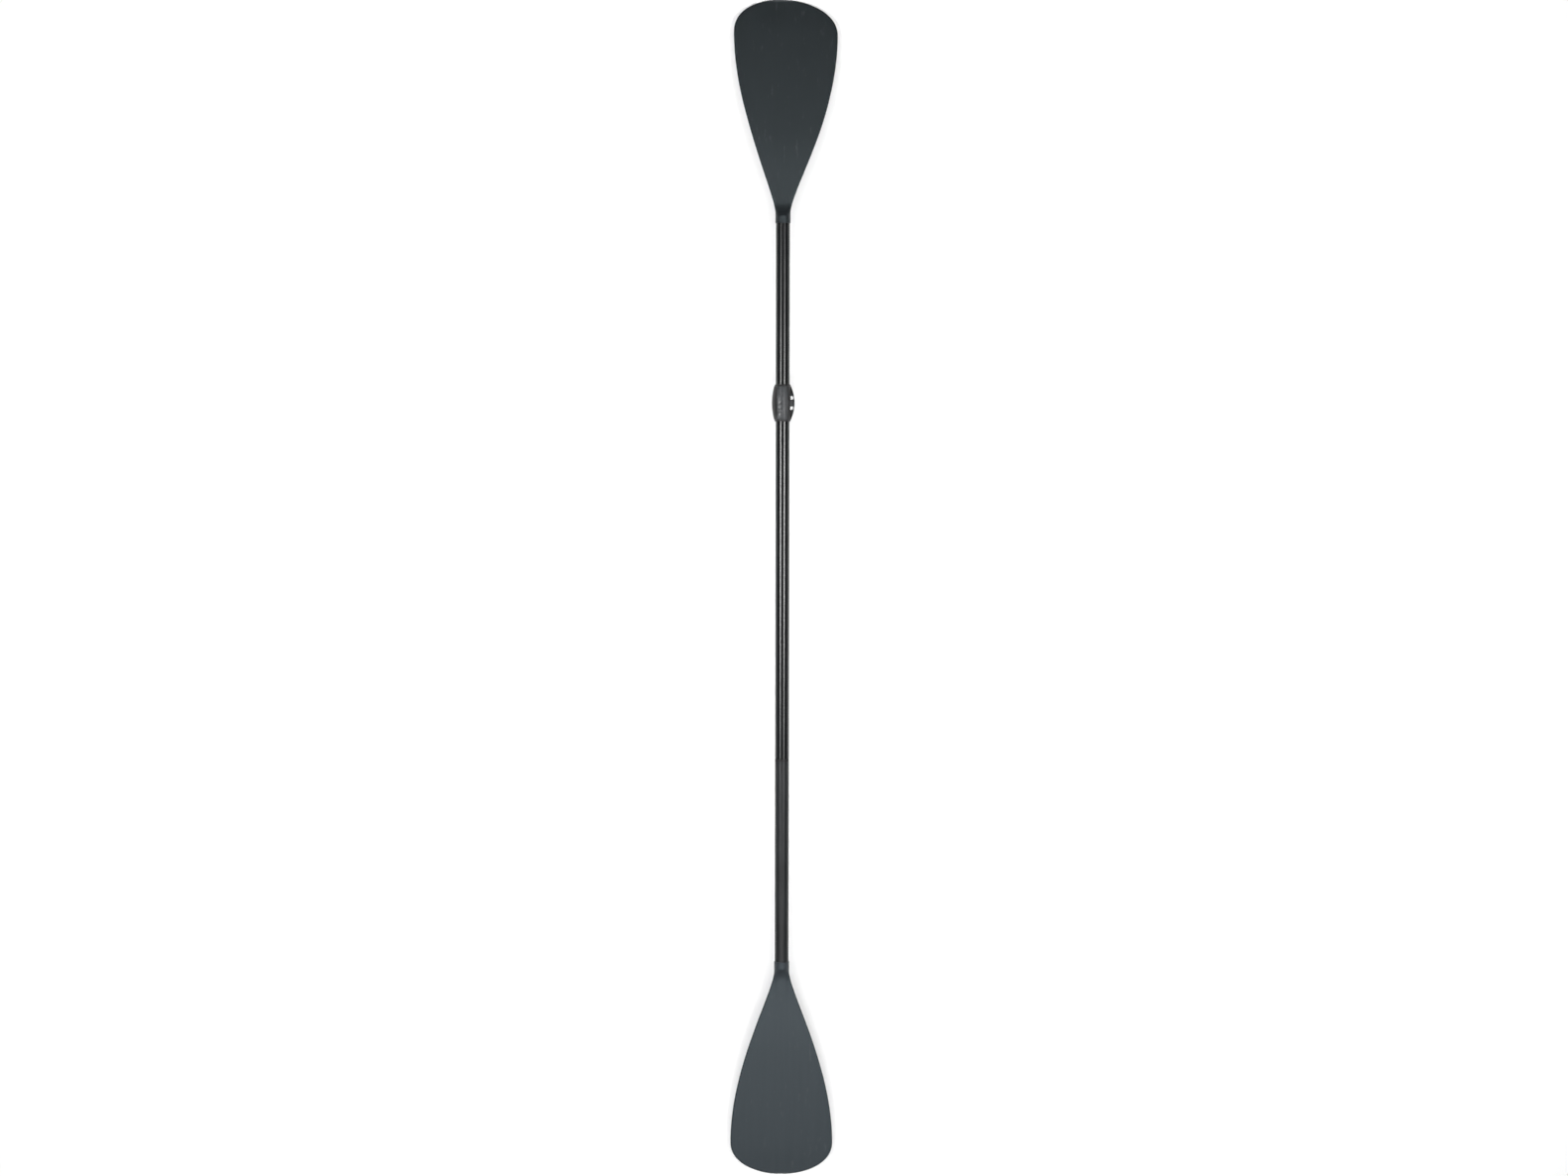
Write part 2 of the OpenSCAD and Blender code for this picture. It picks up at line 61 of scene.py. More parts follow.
ON_AXIS = 1e-9
MERGE, ROUGH_MERGE = 1e-7, 2e-6
PAST = 0.001
MIX_FACTOR, MIX_FIRST, MIX_SECOND, MIX_RESULT = 0, 6, 7, 2
X, Y, Z = range(3)

Point = Sequence[float]
Colour = tuple[float, float, float]
Outline = Sequence[tuple[float, float]]


class Body(Enum):
    """The moving bodies that pieces ride on."""

    MIDDLE = "middle_section"
    UPPER = "upper_section"
    LOWER = "lower_section"
    LEVER = "clamp_lever"
    BUTTON = "snap_button"


class Along(Enum):
    """The axis that a turned piece is turned about."""

    SHAFT = "x"
    UPRIGHT = "z"


class Cut(Enum):
    """What a second solid does to a first."""

    AWAY = "DIFFERENCE"
    JOIN = "UNION"


# ------------------------------------------------------------------------------------- node graphs


class Wire:
    """A node's output, with Python's arithmetic on it."""

    def __init__(self, graph: "Graph", node: bpy.types.Node, output: int | str = 0) -> None:
        """Wraps one output of a node.

        Args:
            graph: The graph that the node is in.
            node: The node.
            output: The output's place or name.
        """
        self.graph = graph
        self.node = node
        self.socket = node.outputs[output] if len(node.outputs) else None

    def out(self, output: int | str) -> "Wire":
        """Another output of the same node."""
        return Wire(self.graph, self.node, output)

    def _maths(self, operation: str, first: "Wire | float", second: "Wire | float") -> "Wire":
        """One Math node on two values.

        Args:
            operation: What the node does.
            first: Its first value.
            second: Its second value.

        Returns:
            The result.
        """
        return self.graph.node("ShaderNodeMath", {"operation": operation}, {0: first, 1: second})

    def __add__(self, other: "Wire | float") -> "Wire":
        """self + other."""
        return self._maths("ADD", self, other)

    def __radd__(self, other: float) -> "Wire":
        """other + self."""
        return self._maths("ADD", other, self)

    def __sub__(self, other: "Wire | float") -> "Wire":
        """self - other."""
        return self._maths("SUBTRACT", self, other)

    def __rsub__(self, other: float) -> "Wire":
        """other - self."""
        return self._maths("SUBTRACT", other, self)

    def __mul__(self, other: "Wire | float") -> "Wire":
        """self * other."""
        return self._maths("MULTIPLY", self, other)

    def __rmul__(self, other: float) -> "Wire":
        """other * self."""
        return self._maths("MULTIPLY", other, self)

    def __truediv__(self, other: "Wire | float") -> "Wire":
        """self / other."""
        return self._maths("DIVIDE", self, other)

    def root(self) -> "Wire":
        """The square root."""
        return self._maths("SQRT", self, 0.0)

    def size(self) -> "Wire":
        """The value without its sign."""
        return self._maths("ABSOLUTE", self, 0.0)

    def ease(self, low: float, high: float) -> "Wire":
        """A soft step.

        Args:
            low: Where it leaves 0.
            high: Where it reaches 1.

        Returns:
            The step's value, from 0 to 1.
        """
        sockets = {"Value": self, "From Min": low, "From Max": high}
        return self.graph.node("ShaderNodeMapRange", {"interpolation_type": "SMOOTHSTEP"}, sockets)


class Graph:
    """A node tree that is built in code."""

    def __init__(self, tree: bpy.types.NodeTree) -> None:
        """Takes an emptied tree."""
        self.tree = tree
        tree.nodes.clear()

    def node(self, kind: str, settings: dict | None = None, sockets: dict | None = None,
             output: int | str = 0) -> Wire:
        """Makes one node.

        Args:
            kind: The node's type.
            settings: Its own settings, set before its inputs.
            sockets: Values or wires for its inputs, by name or place.
            output: The output to return.

        Returns:
            The node's chosen output.
        """
        made = self.tree.nodes.new(kind)
        for name, value in (settings or {}).items():
            setattr(made, name, value)
        for key, value in (sockets or {}).items():
            self.feed(made.inputs[key], value)
        return Wire(self, made, output)

    def feed(self, socket: bpy.types.NodeSocket, value: Wire | float | Point | str) -> None:
        """Links a wire to an input, or sets the input's own value.

        Args:
            socket: The input.
            value: A wire, or a plain value that suits the input.
        """
        if isinstance(value, Wire):
            self.tree.links.new(value.socket, socket)
        elif socket.type == "RGBA" and len(value) == 3:
            socket.default_value = (*value, 1.0)
        else:
            socket.default_value = value

    def place(self) -> Wire:
        """The surface point in the row frame, in metres."""
        return self.node("ShaderNodeTexCoord", output="Object")

    def stretched(self, place: Wire, scale: Point) -> Wire:
        """A place stretched along each axis."""
        return self.node("ShaderNodeVectorMath", {"operation": "MULTIPLY"}, {0: place, 1: scale})

    def part(self, place: Wire, axis: int) -> Wire:
        """One of a place's three parts."""
        return self.node("ShaderNodeSeparateXYZ", sockets={0: place}).out(axis)

    def noise(self, place: Wire, scale: float, detail: float = 3.0, roughness: float = 0.5) -> Wire:
        """Soft noise from 0 to 1.

        Args:
            place: Where it is read.
            scale: Blobs per unit of place.
            detail: How many finer layers it has.
            roughness: How strong the finer layers are.

        Returns:
            The noise value.
        """
        sockets = {"Vector": place, "Scale": scale, "Detail": detail, "Roughness": roughness}
        return self.node("ShaderNodeTexNoise", sockets=sockets)

    def cells(self, place: Wire, scale: float) -> Wire:
        """Distance to the nearest of scattered points, for pits and cells."""
        return self.node("ShaderNodeTexVoronoi", sockets={"Vector": place, "Scale": scale})

    def mix(self, factor: Wire | float, first: Wire | Colour, second: Wire | Colour) -> Wire:
        """A colour between two colours.

        Args:
            factor: 0 gives the first, 1 the second.
            first: The colour at 0.
            second: The colour at 1.

        Returns:
            The mixed colour.
        """
        colours = {MIX_FACTOR: factor, MIX_FIRST: first, MIX_SECOND: second}
        return self.node("ShaderNodeMix", {"data_type": "RGBA"}, colours, MIX_RESULT)

    def bump(self, height: Wire, depth: float) -> Wire:
        """A shading normal from a height from 0 to 1, where 1 is so many metres."""
        return self.node("ShaderNodeBump", sockets={"Height": height, "Distance": depth, "Strength": 1.0})


# ---------------------------------------------------------------------------------------- finishes


def tinted(colour: Colour, share: float) -> Colour:
    """A colour made lighter or darker by a share of itself."""
    return tuple(min(1.0, part * share) for part in colour)


@dataclass(frozen=True)
class Finish:
    """A finish that a piece's surface takes.

    Attributes:
        name: Its name, which its material is named after.
        colour: The main colour.
        roughness: The main roughness.
        specular: The strength of the clear reflection.
        metallic: 1 for bare metal, else 0.
        look: What tells two finishes of one slot apart.
    """

    name: str
    colour: Colour
    roughness: float
    specular: float = 0.5
    metallic: float = 0.0
    look: str = "finish"

    def material(self) -> bpy.types.Material:
        """Builds the material, or finds the one already built.

        Returns:
            The material, named after its slot and its look.
        """
        title = f"{self.name}_{self.look}"
        known = bpy.data.materials.get(title)
        if known:
            return known
        made = bpy.data.materials.new(title)
        made.use_nodes = True
        graph = Graph(made.node_tree)
        sockets = {"Specular IOR Level": self.specular, "Metallic": self.metallic}
        shader = graph.node("ShaderNodeBsdfPrincipled", sockets={**sockets, **self.fixed()})
        for name, value in self.varied(graph).items():
            graph.feed(shader.node.inputs[name], value)
        graph.node("ShaderNodeOutputMaterial", sockets={"Surface": shader})
        made.diffuse_color = (*self.colour, 1.0)
        return made

    def fixed(self) -> dict:
        """Shader values that are the same all over the surface."""
        return {}

    def varied(self, graph: Graph) -> dict:
        """Shader values that change over the surface."""
        raise NotImplementedError


@dataclass(frozen=True)
class BladePlastic(Finish):
    """Satin moulded plastic with faint flow lines along the blade.

    Attributes:
        flow: How much the flow lines lighten and darken it.
        grain: Depth of its moulded grain.
        sheen: Tint of its reflection.
        tip: X of the blade's tip.
        worn: Colour that rubbing leaves along the tip.
        worn_l: Length of the rubbed tip.
        rim_wear: How much of that colour shows on the tip.
        scuff_wear: How much of it shows in the scuffs.
    """

    flow: float = 0.10
    grain: float = 0.00006
    sheen: Colour = (0.8, 0.94, 1.0)
    tip: float = 1.18
    worn: Colour = (0.09, 0.095, 0.1)
    worn_l: float = 0.005
    rim_wear: float = 0.7
    scuff_wear: float = 0.12

    def fixed(self) -> dict:
        """The tint of the reflection."""
        return {"Specular Tint": (*self.sheen, 1.0)}

    def varied(self, graph: Graph) -> dict:
        """Flow lines, mottling, moulded grain and a rubbed tip.

        Args:
            graph: The material's graph.

        Returns:
            Values or wires for the shader's inputs, by name.
        """
        place = graph.place()
        lines = graph.noise(graph.stretched(place, (1.0, 45.0, 20.0)), 2.2, 5.0, 0.55)
        clouds = graph.noise(place, 9.0, 4.0, 0.5)
        tone = (lines * 0.7 + clouds * 0.3).ease(0.3, 0.7)
        colour = graph.mix(tone, tinted(self.colour, 1 - self.flow), tinted(self.colour, 1 + self.flow))
        scuffs = graph.noise(graph.stretched(place, (30.0, 160.0, 60.0)), 1.0, 3.0, 0.6).ease(0.62, 0.72)
        from_tip = (graph.part(place, X).size() - abs(self.tip)).size()
        rim = (1.0 - from_tip.ease(0.0005, self.worn_l)) * self.rim_wear
        colour = graph.mix(rim, colour, self.worn)
        colour = graph.mix(scuffs * self.scuff_wear, colour, self.worn)
        grain = graph.noise(place, 2600.0, 2.0, 0.6) * 0.7 + graph.cells(place, 1500.0) * 0.3
        roughness = self.roughness + (tone - 0.5) * 0.06 + scuffs * 0.05
        return {"Base Color": colour, "Roughness": roughness, "Normal": graph.bump(grain, self.grain)}


@dataclass(frozen=True)
class AnodisedTube(Finish):
    """Black anodised drawn tube.

    Attributes:
        lines: Depth of the fine drawn lines along it.
        rub: How much handling changes its gloss.
    """

    lines: float = 0.000004
    rub: float = 0.06

    def varied(self, graph: Graph) -> dict:
        """Drawn lines along the tube and soft handling marks.

        Args:
            graph: The material's graph.

        Returns:
            Values or wires for the shader's inputs, by name.
        """
        place = graph.place()
        drawn = graph.noise(graph.stretched(place, (3.0, 2200.0, 2200.0)), 1.0, 2.0, 0.6)
        handled = graph.noise(graph.stretched(place, (14.0, 40.0, 40.0)), 1.0, 4.0, 0.55)
        colour = graph.mix(handled.ease(0.35, 0.7), tinted(self.colour, 0.85), tinted(self.colour, 1.25))
        roughness = self.roughness + (handled - 0.5) * self.rub + (drawn - 0.5) * 0.03
        return {"Base Color": colour, "Roughness": roughness, "Normal": graph.bump(drawn, self.lines)}


@dataclass(frozen=True)
class MouldedNylon(Finish):
    """Nylon moulded in a fine spark-eroded tool.

    Attributes:
        pits: Depth of the fine texture.
        pit_scale: Pits per metre.
        painted_shade_y: Y past which painted shade darkens it and roughens it, away from the lever's
            plate, where the clamp's recess lies in shadow.
        painted_shade: Share of its tone that the painted shade leaves.
        painted_shade_fade: Width over which the painted shade fades.
        groove_painted_shade: How much painted shade darkens the finger grooves, by their depth.
    """

    pits: float = 0.00005
    pit_scale: float = 1900.0
    painted_shade_y: float = -0.9
    painted_shade: float = 0.45
    painted_shade_fade: float = 0.0015
    groove_painted_shade: float = 0.85

    def varied(self, graph: Graph) -> dict:
        """A pitted texture with soft clouds in its tone, painted shade that darkens and roughens it on the
        far -Y side, and painted shade in the finger grooves.

        Args:
            graph: The material's graph.

        Returns:
            Values or wires for the shader's inputs, by name.
        """
        place = graph.place()
        clouds = graph.noise(place, 70.0, 4.0, 0.55).ease(0.3, 0.7)
        pitted = graph.cells(place, self.pit_scale) * 0.6 + graph.noise(place, self.pit_scale, 2.0) * 0.4
        colour = graph.mix(clouds, tinted(self.colour, 0.82), tinted(self.colour, 1.2))
        # Painted shade: the tone darkens and the roughness rises on the far -Y side, where the clamp's
        # ears and the lever's hub lie in shadow.
        painted_shade = 1.0 - graph.part(place, Y).ease(self.painted_shade_y - self.painted_shade_fade, self.painted_shade_y)
        colour = graph.mix(painted_shade, colour, tinted(self.colour, self.painted_shade))
        # Painted shade: the finger grooves are darkened by how deep they lie.
        sunk = graph.node("ShaderNodeAttribute", {"attribute_name": SUNK}, output="Fac")
        colour = graph.mix(sunk * self.groove_painted_shade, colour, tinted(self.colour, 1 - self.groove_painted_shade))
        roughness = self.roughness + (clouds - 0.5) * 0.1 + painted_shade * 0.25
        return {"Base Color": colour, "Roughness": roughness, "Normal": graph.bump(pitted, self.pits)}


@dataclass(frozen=True)
class BareMetal(Finish):
    """Uncoated metal with fine working marks.

    Attributes:
        marks: Depth of the marks.
        grain: Stretch of the marks along each axis.
    """

    marks: float = 0.000006
    grain: tuple[float, float, float] = (30.0, 1500.0, 1500.0)

    def varied(self, graph: Graph) -> dict:
        """Working marks, and a tone that dulls in clouds.

        Args:
            graph: The material's graph.

        Returns:
            Values or wires for the shader's inputs, by name.
        """
        place = graph.place()
        marks = graph.noise(graph.stretched(place, self.grain), 1.0, 2.0, 0.6)
        dull = graph.noise(place, 120.0, 4.0, 0.6).ease(0.35, 0.75)
        colour = graph.mix(dull, self.colour, tinted(self.colour, 0.72))
        roughness = self.roughness + dull * 0.1 + (marks - 0.5) * 0.08
        return {"Base Color": colour, "Roughness": roughness, "Normal": graph.bump(marks, self.marks)}


@dataclass(frozen=True)
class TurnedNylon(Finish):
    """Natural nylon, milky and turned on a lathe."""

    def fixed(self) -> dict:
        """A little light inside the nylon."""
        return {"Subsurface Weight": 0.15, "Subsurface Radius": (0.002, 0.002, 0.0015)}

    def varied(self, graph: Graph) -> dict:
        """Turning rings along the shaft and a milky tone.

        Args:
            graph: The material's graph.

        Returns:
            Values or wires for the shader's inputs, by name.
        """
        place = graph.place()
        rings = graph.noise(graph.stretched(place, (2600.0, 8.0, 8.0)), 1.0, 1.0)
        milk = graph.noise(place, 160.0, 3.0).ease(0.3, 0.7)
        colour = graph.mix(milk, tinted(self.colour, 0.92), self.colour)
        return {"Base Color": colour, "Roughness": self.roughness + (milk - 0.5) * 0.1,
                "Normal": graph.bump(rings, 0.00002)}


@dataclass(frozen=True)
class ClosedFoam(Finish):
    """Dark closed-cell foam."""

    def varied(self, graph: Graph) -> dict:
        """Small cells with darker hollows.

        Args:
            graph: The material's graph.

        Returns:
            Values or wires for the shader's inputs, by name.
        """
        place = graph.place()
        cells = graph.cells(place, 900.0)
        colour = graph.mix(cells.ease(0.1, 0.7), self.colour, tinted(self.colour, 0.5))
        return {"Base Color": colour, "Roughness": self.roughness + cells * 0.05,
                "Normal": graph.bump(cells, 0.0003)}


@dataclass(frozen=True)
class PaleFloor(Finish):
    """The studio's matt floor."""

    def varied(self, graph: Graph) -> dict:
        """A barely uneven pale tone.

        Args:
            graph: The material's graph.

        Returns:
            Values or wires for the shader's inputs, by name.
        """
        clouds = graph.noise(graph.place(), 1.5, 3.0)
        colour = graph.mix(clouds, tinted(self.colour, 0.985), self.colour)
        return {"Base Color": colour, "Roughness": self.roughness + (clouds - 0.5) * 0.05}


# One plastic for both blades: the upper blade's darker colour is painted shade and the lower blade's
# lighter colour is painted light, for how the light falls on their raked faces.
UPPER_PLASTIC_PAINTED_SHADE = BladePlastic("upper_blade_plastic", (0.0058, 0.0072, 0.0082), 0.44, 0.3, tip=1.182)
LOWER_PLASTIC_PAINTED_LIGHT = BladePlastic("lower_blade_plastic", (0.017, 0.0205, 0.024), 0.46, 0.32, flow=0.08,
                             tip=-1.182)
GLOSS_TUBE = AnodisedTube("gloss_tube", (0.0035, 0.0042, 0.0045), 0.18, 0.34)
SATIN_TUBE = AnodisedTube("satin_tube", (0.007, 0.008, 0.0088), 0.36, 0.26, lines=0.000006)
# Both nylons carry painted shade on their far -Y side, past the given Y, where the ears and the hub lie in
# shadow.
CLAMP_NYLON = MouldedNylon("clamp_nylon", (0.009, 0.0085, 0.009), 0.46, 0.3, painted_shade_y=-0.0145)
LEVER_NYLON = MouldedNylon("lever_nylon", (0.02, 0.0225, 0.025), 0.4, 0.45, painted_shade_y=-0.0075, painted_shade=0.2)
JOINT_NYLON = MouldedNylon("joint_nylon", (0.004, 0.004, 0.0045), 0.5, 0.25)
BLACK_NYLON = MouldedNylon("black_nylon", (0.012, 0.012, 0.013), 0.45, 0.4)
NATURAL_NYLON = TurnedNylon("natural_nylon", (0.62, 0.6, 0.53), 0.4)
POLISHED_STEEL = BareMetal("polished_steel", (0.8, 0.8, 0.8), 0.12, metallic=1.0, marks=0.000002)
PLATED_STEEL = BareMetal("steel", (0.52, 0.53, 0.55), 0.28, metallic=1.0)
DARK_STEEL = BareMetal("steel", (0.05, 0.05, 0.052), 0.5, metallic=1.0, look="blued")
RIVET_ALLOY = BareMetal("rivet", (0.36, 0.37, 0.39), 0.35, metallic=1.0, grain=(900.0, 900.0, 900.0))
BARE_ALLOY = BareMetal("bare_alloy", (0.6, 0.61, 0.63), 0.3, metallic=1.0)
FOAM = ClosedFoam("foam", (0.06, 0.06, 0.065), 0.9, 0.2)
FLOOR_PAINT = PaleFloor("floor_paint", (0.86, 0.86, 0.86), 0.85, 0.0)


# ------------------------------------------------------------------------------------------ shapes


def new_piece(name: str, points: Sequence[Point] | np.ndarray,
              faces: Sequence[Sequence[int]]) -> bpy.types.Object:
    """Makes a mesh object at the origin.

    Args:
        name: The object's name.
        points: Its points, in the row frame.
        faces: Its faces, as places in points.

    Returns:
        The object, linked to the scene.
    """
    mesh = bpy.data.meshes.new(name)
    mesh.from_pydata([tuple(p) for p in points], [], [tuple(f) for f in faces])
    mesh.update()
    piece = bpy.data.objects.new(name, mesh)
    bpy.context.scene.collection.objects.link(piece)
    return piece


def tidied(piece: bpy.types.Object, merge: float = MERGE) -> bpy.types.Object:
    """Merges doubled points, drops stray ones and turns the faces outwards.

    Args:
        piece: The piece.
        merge: Points closer than this become one.

    Returns:
        The same piece.
    """
    work = bmesh.new()
    work.from_mesh(piece.data)
    bmesh.ops.remove_doubles(work, verts=work.verts, dist=merge)
    bmesh.ops.dissolve_degenerate(work, edges=work.edges, dist=merge)
    loose = [v for v in work.verts if not v.link_faces]
    bmesh.ops.delete(work, geom=loose, context="VERTS")
    bmesh.ops.recalc_face_normals(work, faces=work.faces)
    work.to_mesh(piece.data)
    work.free()
    return piece


def ring_faces(count: int, ring: int) -> list[tuple[int, ...]]:
    """Faces that join a row of closed rings of points.

    Args:
        count: How many rings there are.
        ring: Points in each ring.

    Returns:
        The faces, as places in the rings' points.
    """
    return [(i * ring + k, i * ring + (k + 1) % ring, (i + 1) * ring + (k + 1) % ring, (i + 1) * ring + k)
            for i in range(count - 1) for k in range(ring)]


def turned(name: str, outline: Outline, centre: Point, along: Along, steps: int = 96) -> bpy.types.Object:
    """Turns a closed outline about an axis.

    Args:
        name: The object's name.
        outline: Places along the axis and radii, in order round the outline.
        centre: Where the outline's place 0 is, on the axis.
        along: Which axis it is turned about.
        steps: How many steps make the full turn.

    Returns:
        The turned solid.
    """
    points = []
    for place, radius in outline:
        for k in range(steps):
            angle = 2 * math.pi * k / steps
            side, up = radius * math.cos(angle), radius * math.sin(angle)
            offset = (place, side, up) if along is Along.SHAFT else (side, up, place)
            points.append(tuple(c + o for c, o in zip(centre, offset)))
    count = len(outline)
    faces = []
    for i in range(count):
        j = (i + 1) % count
        if outline[i][1] < ON_AXIS and outline[j][1] < ON_AXIS:
            continue
        for k in range(steps):
            m = (k + 1) % steps
            faces.append((i * steps + k, i * steps + m, j * steps + m, j * steps + k))
    return tidied(new_piece(name, points, faces))


def prism(name: str, outline: Outline, low: float, high: float, along: Along,
          centre: Point = (0, 0, 0)) -> bpy.types.Object:
    """Pushes a flat outline along an axis.

    Args:
        name: The object's name.
        outline: The outline across the axis.
        low: Where it starts along the axis.
        high: Where it ends.
        along: The axis; the outline is in (Y, Z) along the shaft, or in (X, Y) upright.
        centre: What is added to each point.

    Returns:
        The prism.
    """
    count = len(outline)
    ends = [low] * count + [high] * count
    flat = list(outline) * 2
    points = [((e, a, b) if along is Along.SHAFT else (a, b, e)) for e, (a, b) in zip(ends, flat)]
    points = [tuple(c + p for c, p in zip(centre, point)) for point in points]
    faces = [tuple(range(count)), tuple(range(2 * count - 1, count - 1, -1))]
    faces += [(i, (i + 1) % count, count + (i + 1) % count, count + i) for i in range(count)]
    return tidied(new_piece(name, points, faces))


def block(name: str, low: Point, high: Point) -> bpy.types.Object:
    """A box, used as a cutter.

    Args:
        name: The object's name.
        low: Its lowest corner.
        high: Its highest corner.

    Returns:
        The box.
    """
    outline = [(low[0], low[1]), (high[0], low[1]), (high[0], high[1]), (low[0], high[1])]
    return prism(name, outline, low[2], high[2], Along.UPRIGHT)


def baked(piece: bpy.types.Object) -> bpy.types.Object:
    """Turns a piece's modifiers into its plain mesh.

    Args:
        piece: The piece.

    Returns:
        The same piece, without modifiers.
    """
    bpy.context.view_layer.update()
    graph = bpy.context.evaluated_depsgraph_get()
    mesh = bpy.data.meshes.new_from_object(piece.evaluated_get(graph))
    piece.modifiers.clear()
    old, piece.data = piece.data, mesh
    bpy.data.meshes.remove(old)
    mesh.name = piece.name
    return piece


def combine(piece: bpy.types.Object, how: Cut, *others: bpy.types.Object) -> bpy.types.Object:
    """Cuts solids out of a piece, or joins them to it, and removes them.

    Args:
        piece: The piece that changes.
        how: What the others do to it.
        others: The other solids.

    Returns:
        The changed piece.
    """
    for other in others:
        step = piece.modifiers.new(how.value.lower(), "BOOLEAN")
        step.operation = how.value
        step.solver = "EXACT"
        step.object = other
        baked(piece)
        bpy.data.objects.remove(other)
    return piece


def softened(piece: bpy.types.Object, width: float, steps: int = 2,
             angle: float = 38.0) -> bpy.types.Object:
    """Rounds a piece's sharp edges.

    Args:
        piece: The piece.
        width: The width of the round.
        steps: How many faces make it.
        angle: Edges that bend more than this many degrees are rounded.

    Returns:
        The rounded piece.
    """
    tidied(piece, ROUGH_MERGE)
    step = piece.modifiers.new("edge_round", "BEVEL")
    step.width = width
    step.segments = steps
    step.limit_method = "ANGLE"
    step.angle_limit = math.radians(angle)
    step.miter_outer = "MITER_ARC"
    step.use_clamp_overlap = True
    return baked(piece)


def dressed(piece: bpy.types.Object, finish: Finish, sharp: float = 32.0) -> bpy.types.Object:
    """Gives a piece its finish and smooth shading.

    Args:
        piece: The piece.
        finish: The finish.
        sharp: Edges that bend more than this many degrees stay sharp.

    Returns:
        The same piece.
    """
    piece.data.materials.clear()
    piece.data.materials.append(finish.material())
    piece.data.shade_smooth()
    piece.data.set_sharp_from_angle(angle=math.radians(sharp))
    return piece


def mounted(piece: bpy.types.Object, body: Body, finish: Finish, *nodes: str) -> bpy.types.Object:
    """Hands a finished piece to the frame.

    Args:
        piece: The finished piece.
        body: The body that it rides on.
        finish: Not used.
        nodes: The CAD nodes that it stands for.

    Returns:
        The piece.
    """
    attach(piece, body.value)
    if nodes:
        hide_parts(*nodes)
    LOG.info("%s: %d faces on %s", piece.name, len(piece.data.polygons), body.value)
    return piece


def repaint(node: str, finish: Finish) -> None:
    """Gives a CAD node that stays in view its finish.

    Args:
        node: The node's name.
        finish: The finish.
    """
    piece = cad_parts[node]
    piece.data.materials.clear()
    piece.data.materials.append(finish.material())
    LOG.info("%s keeps its mesh", node)


def span(node: str) -> tuple[Vector, Vector, Vector]:
    """A CAD node's place.

    Args:
        node: The node's name.

    Returns:
        Its lowest corner, highest corner and middle.
    """
    low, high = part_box(node)
    return low, high, (low + high) / 2


# ------------------------------------------------------------------------------------------ blades


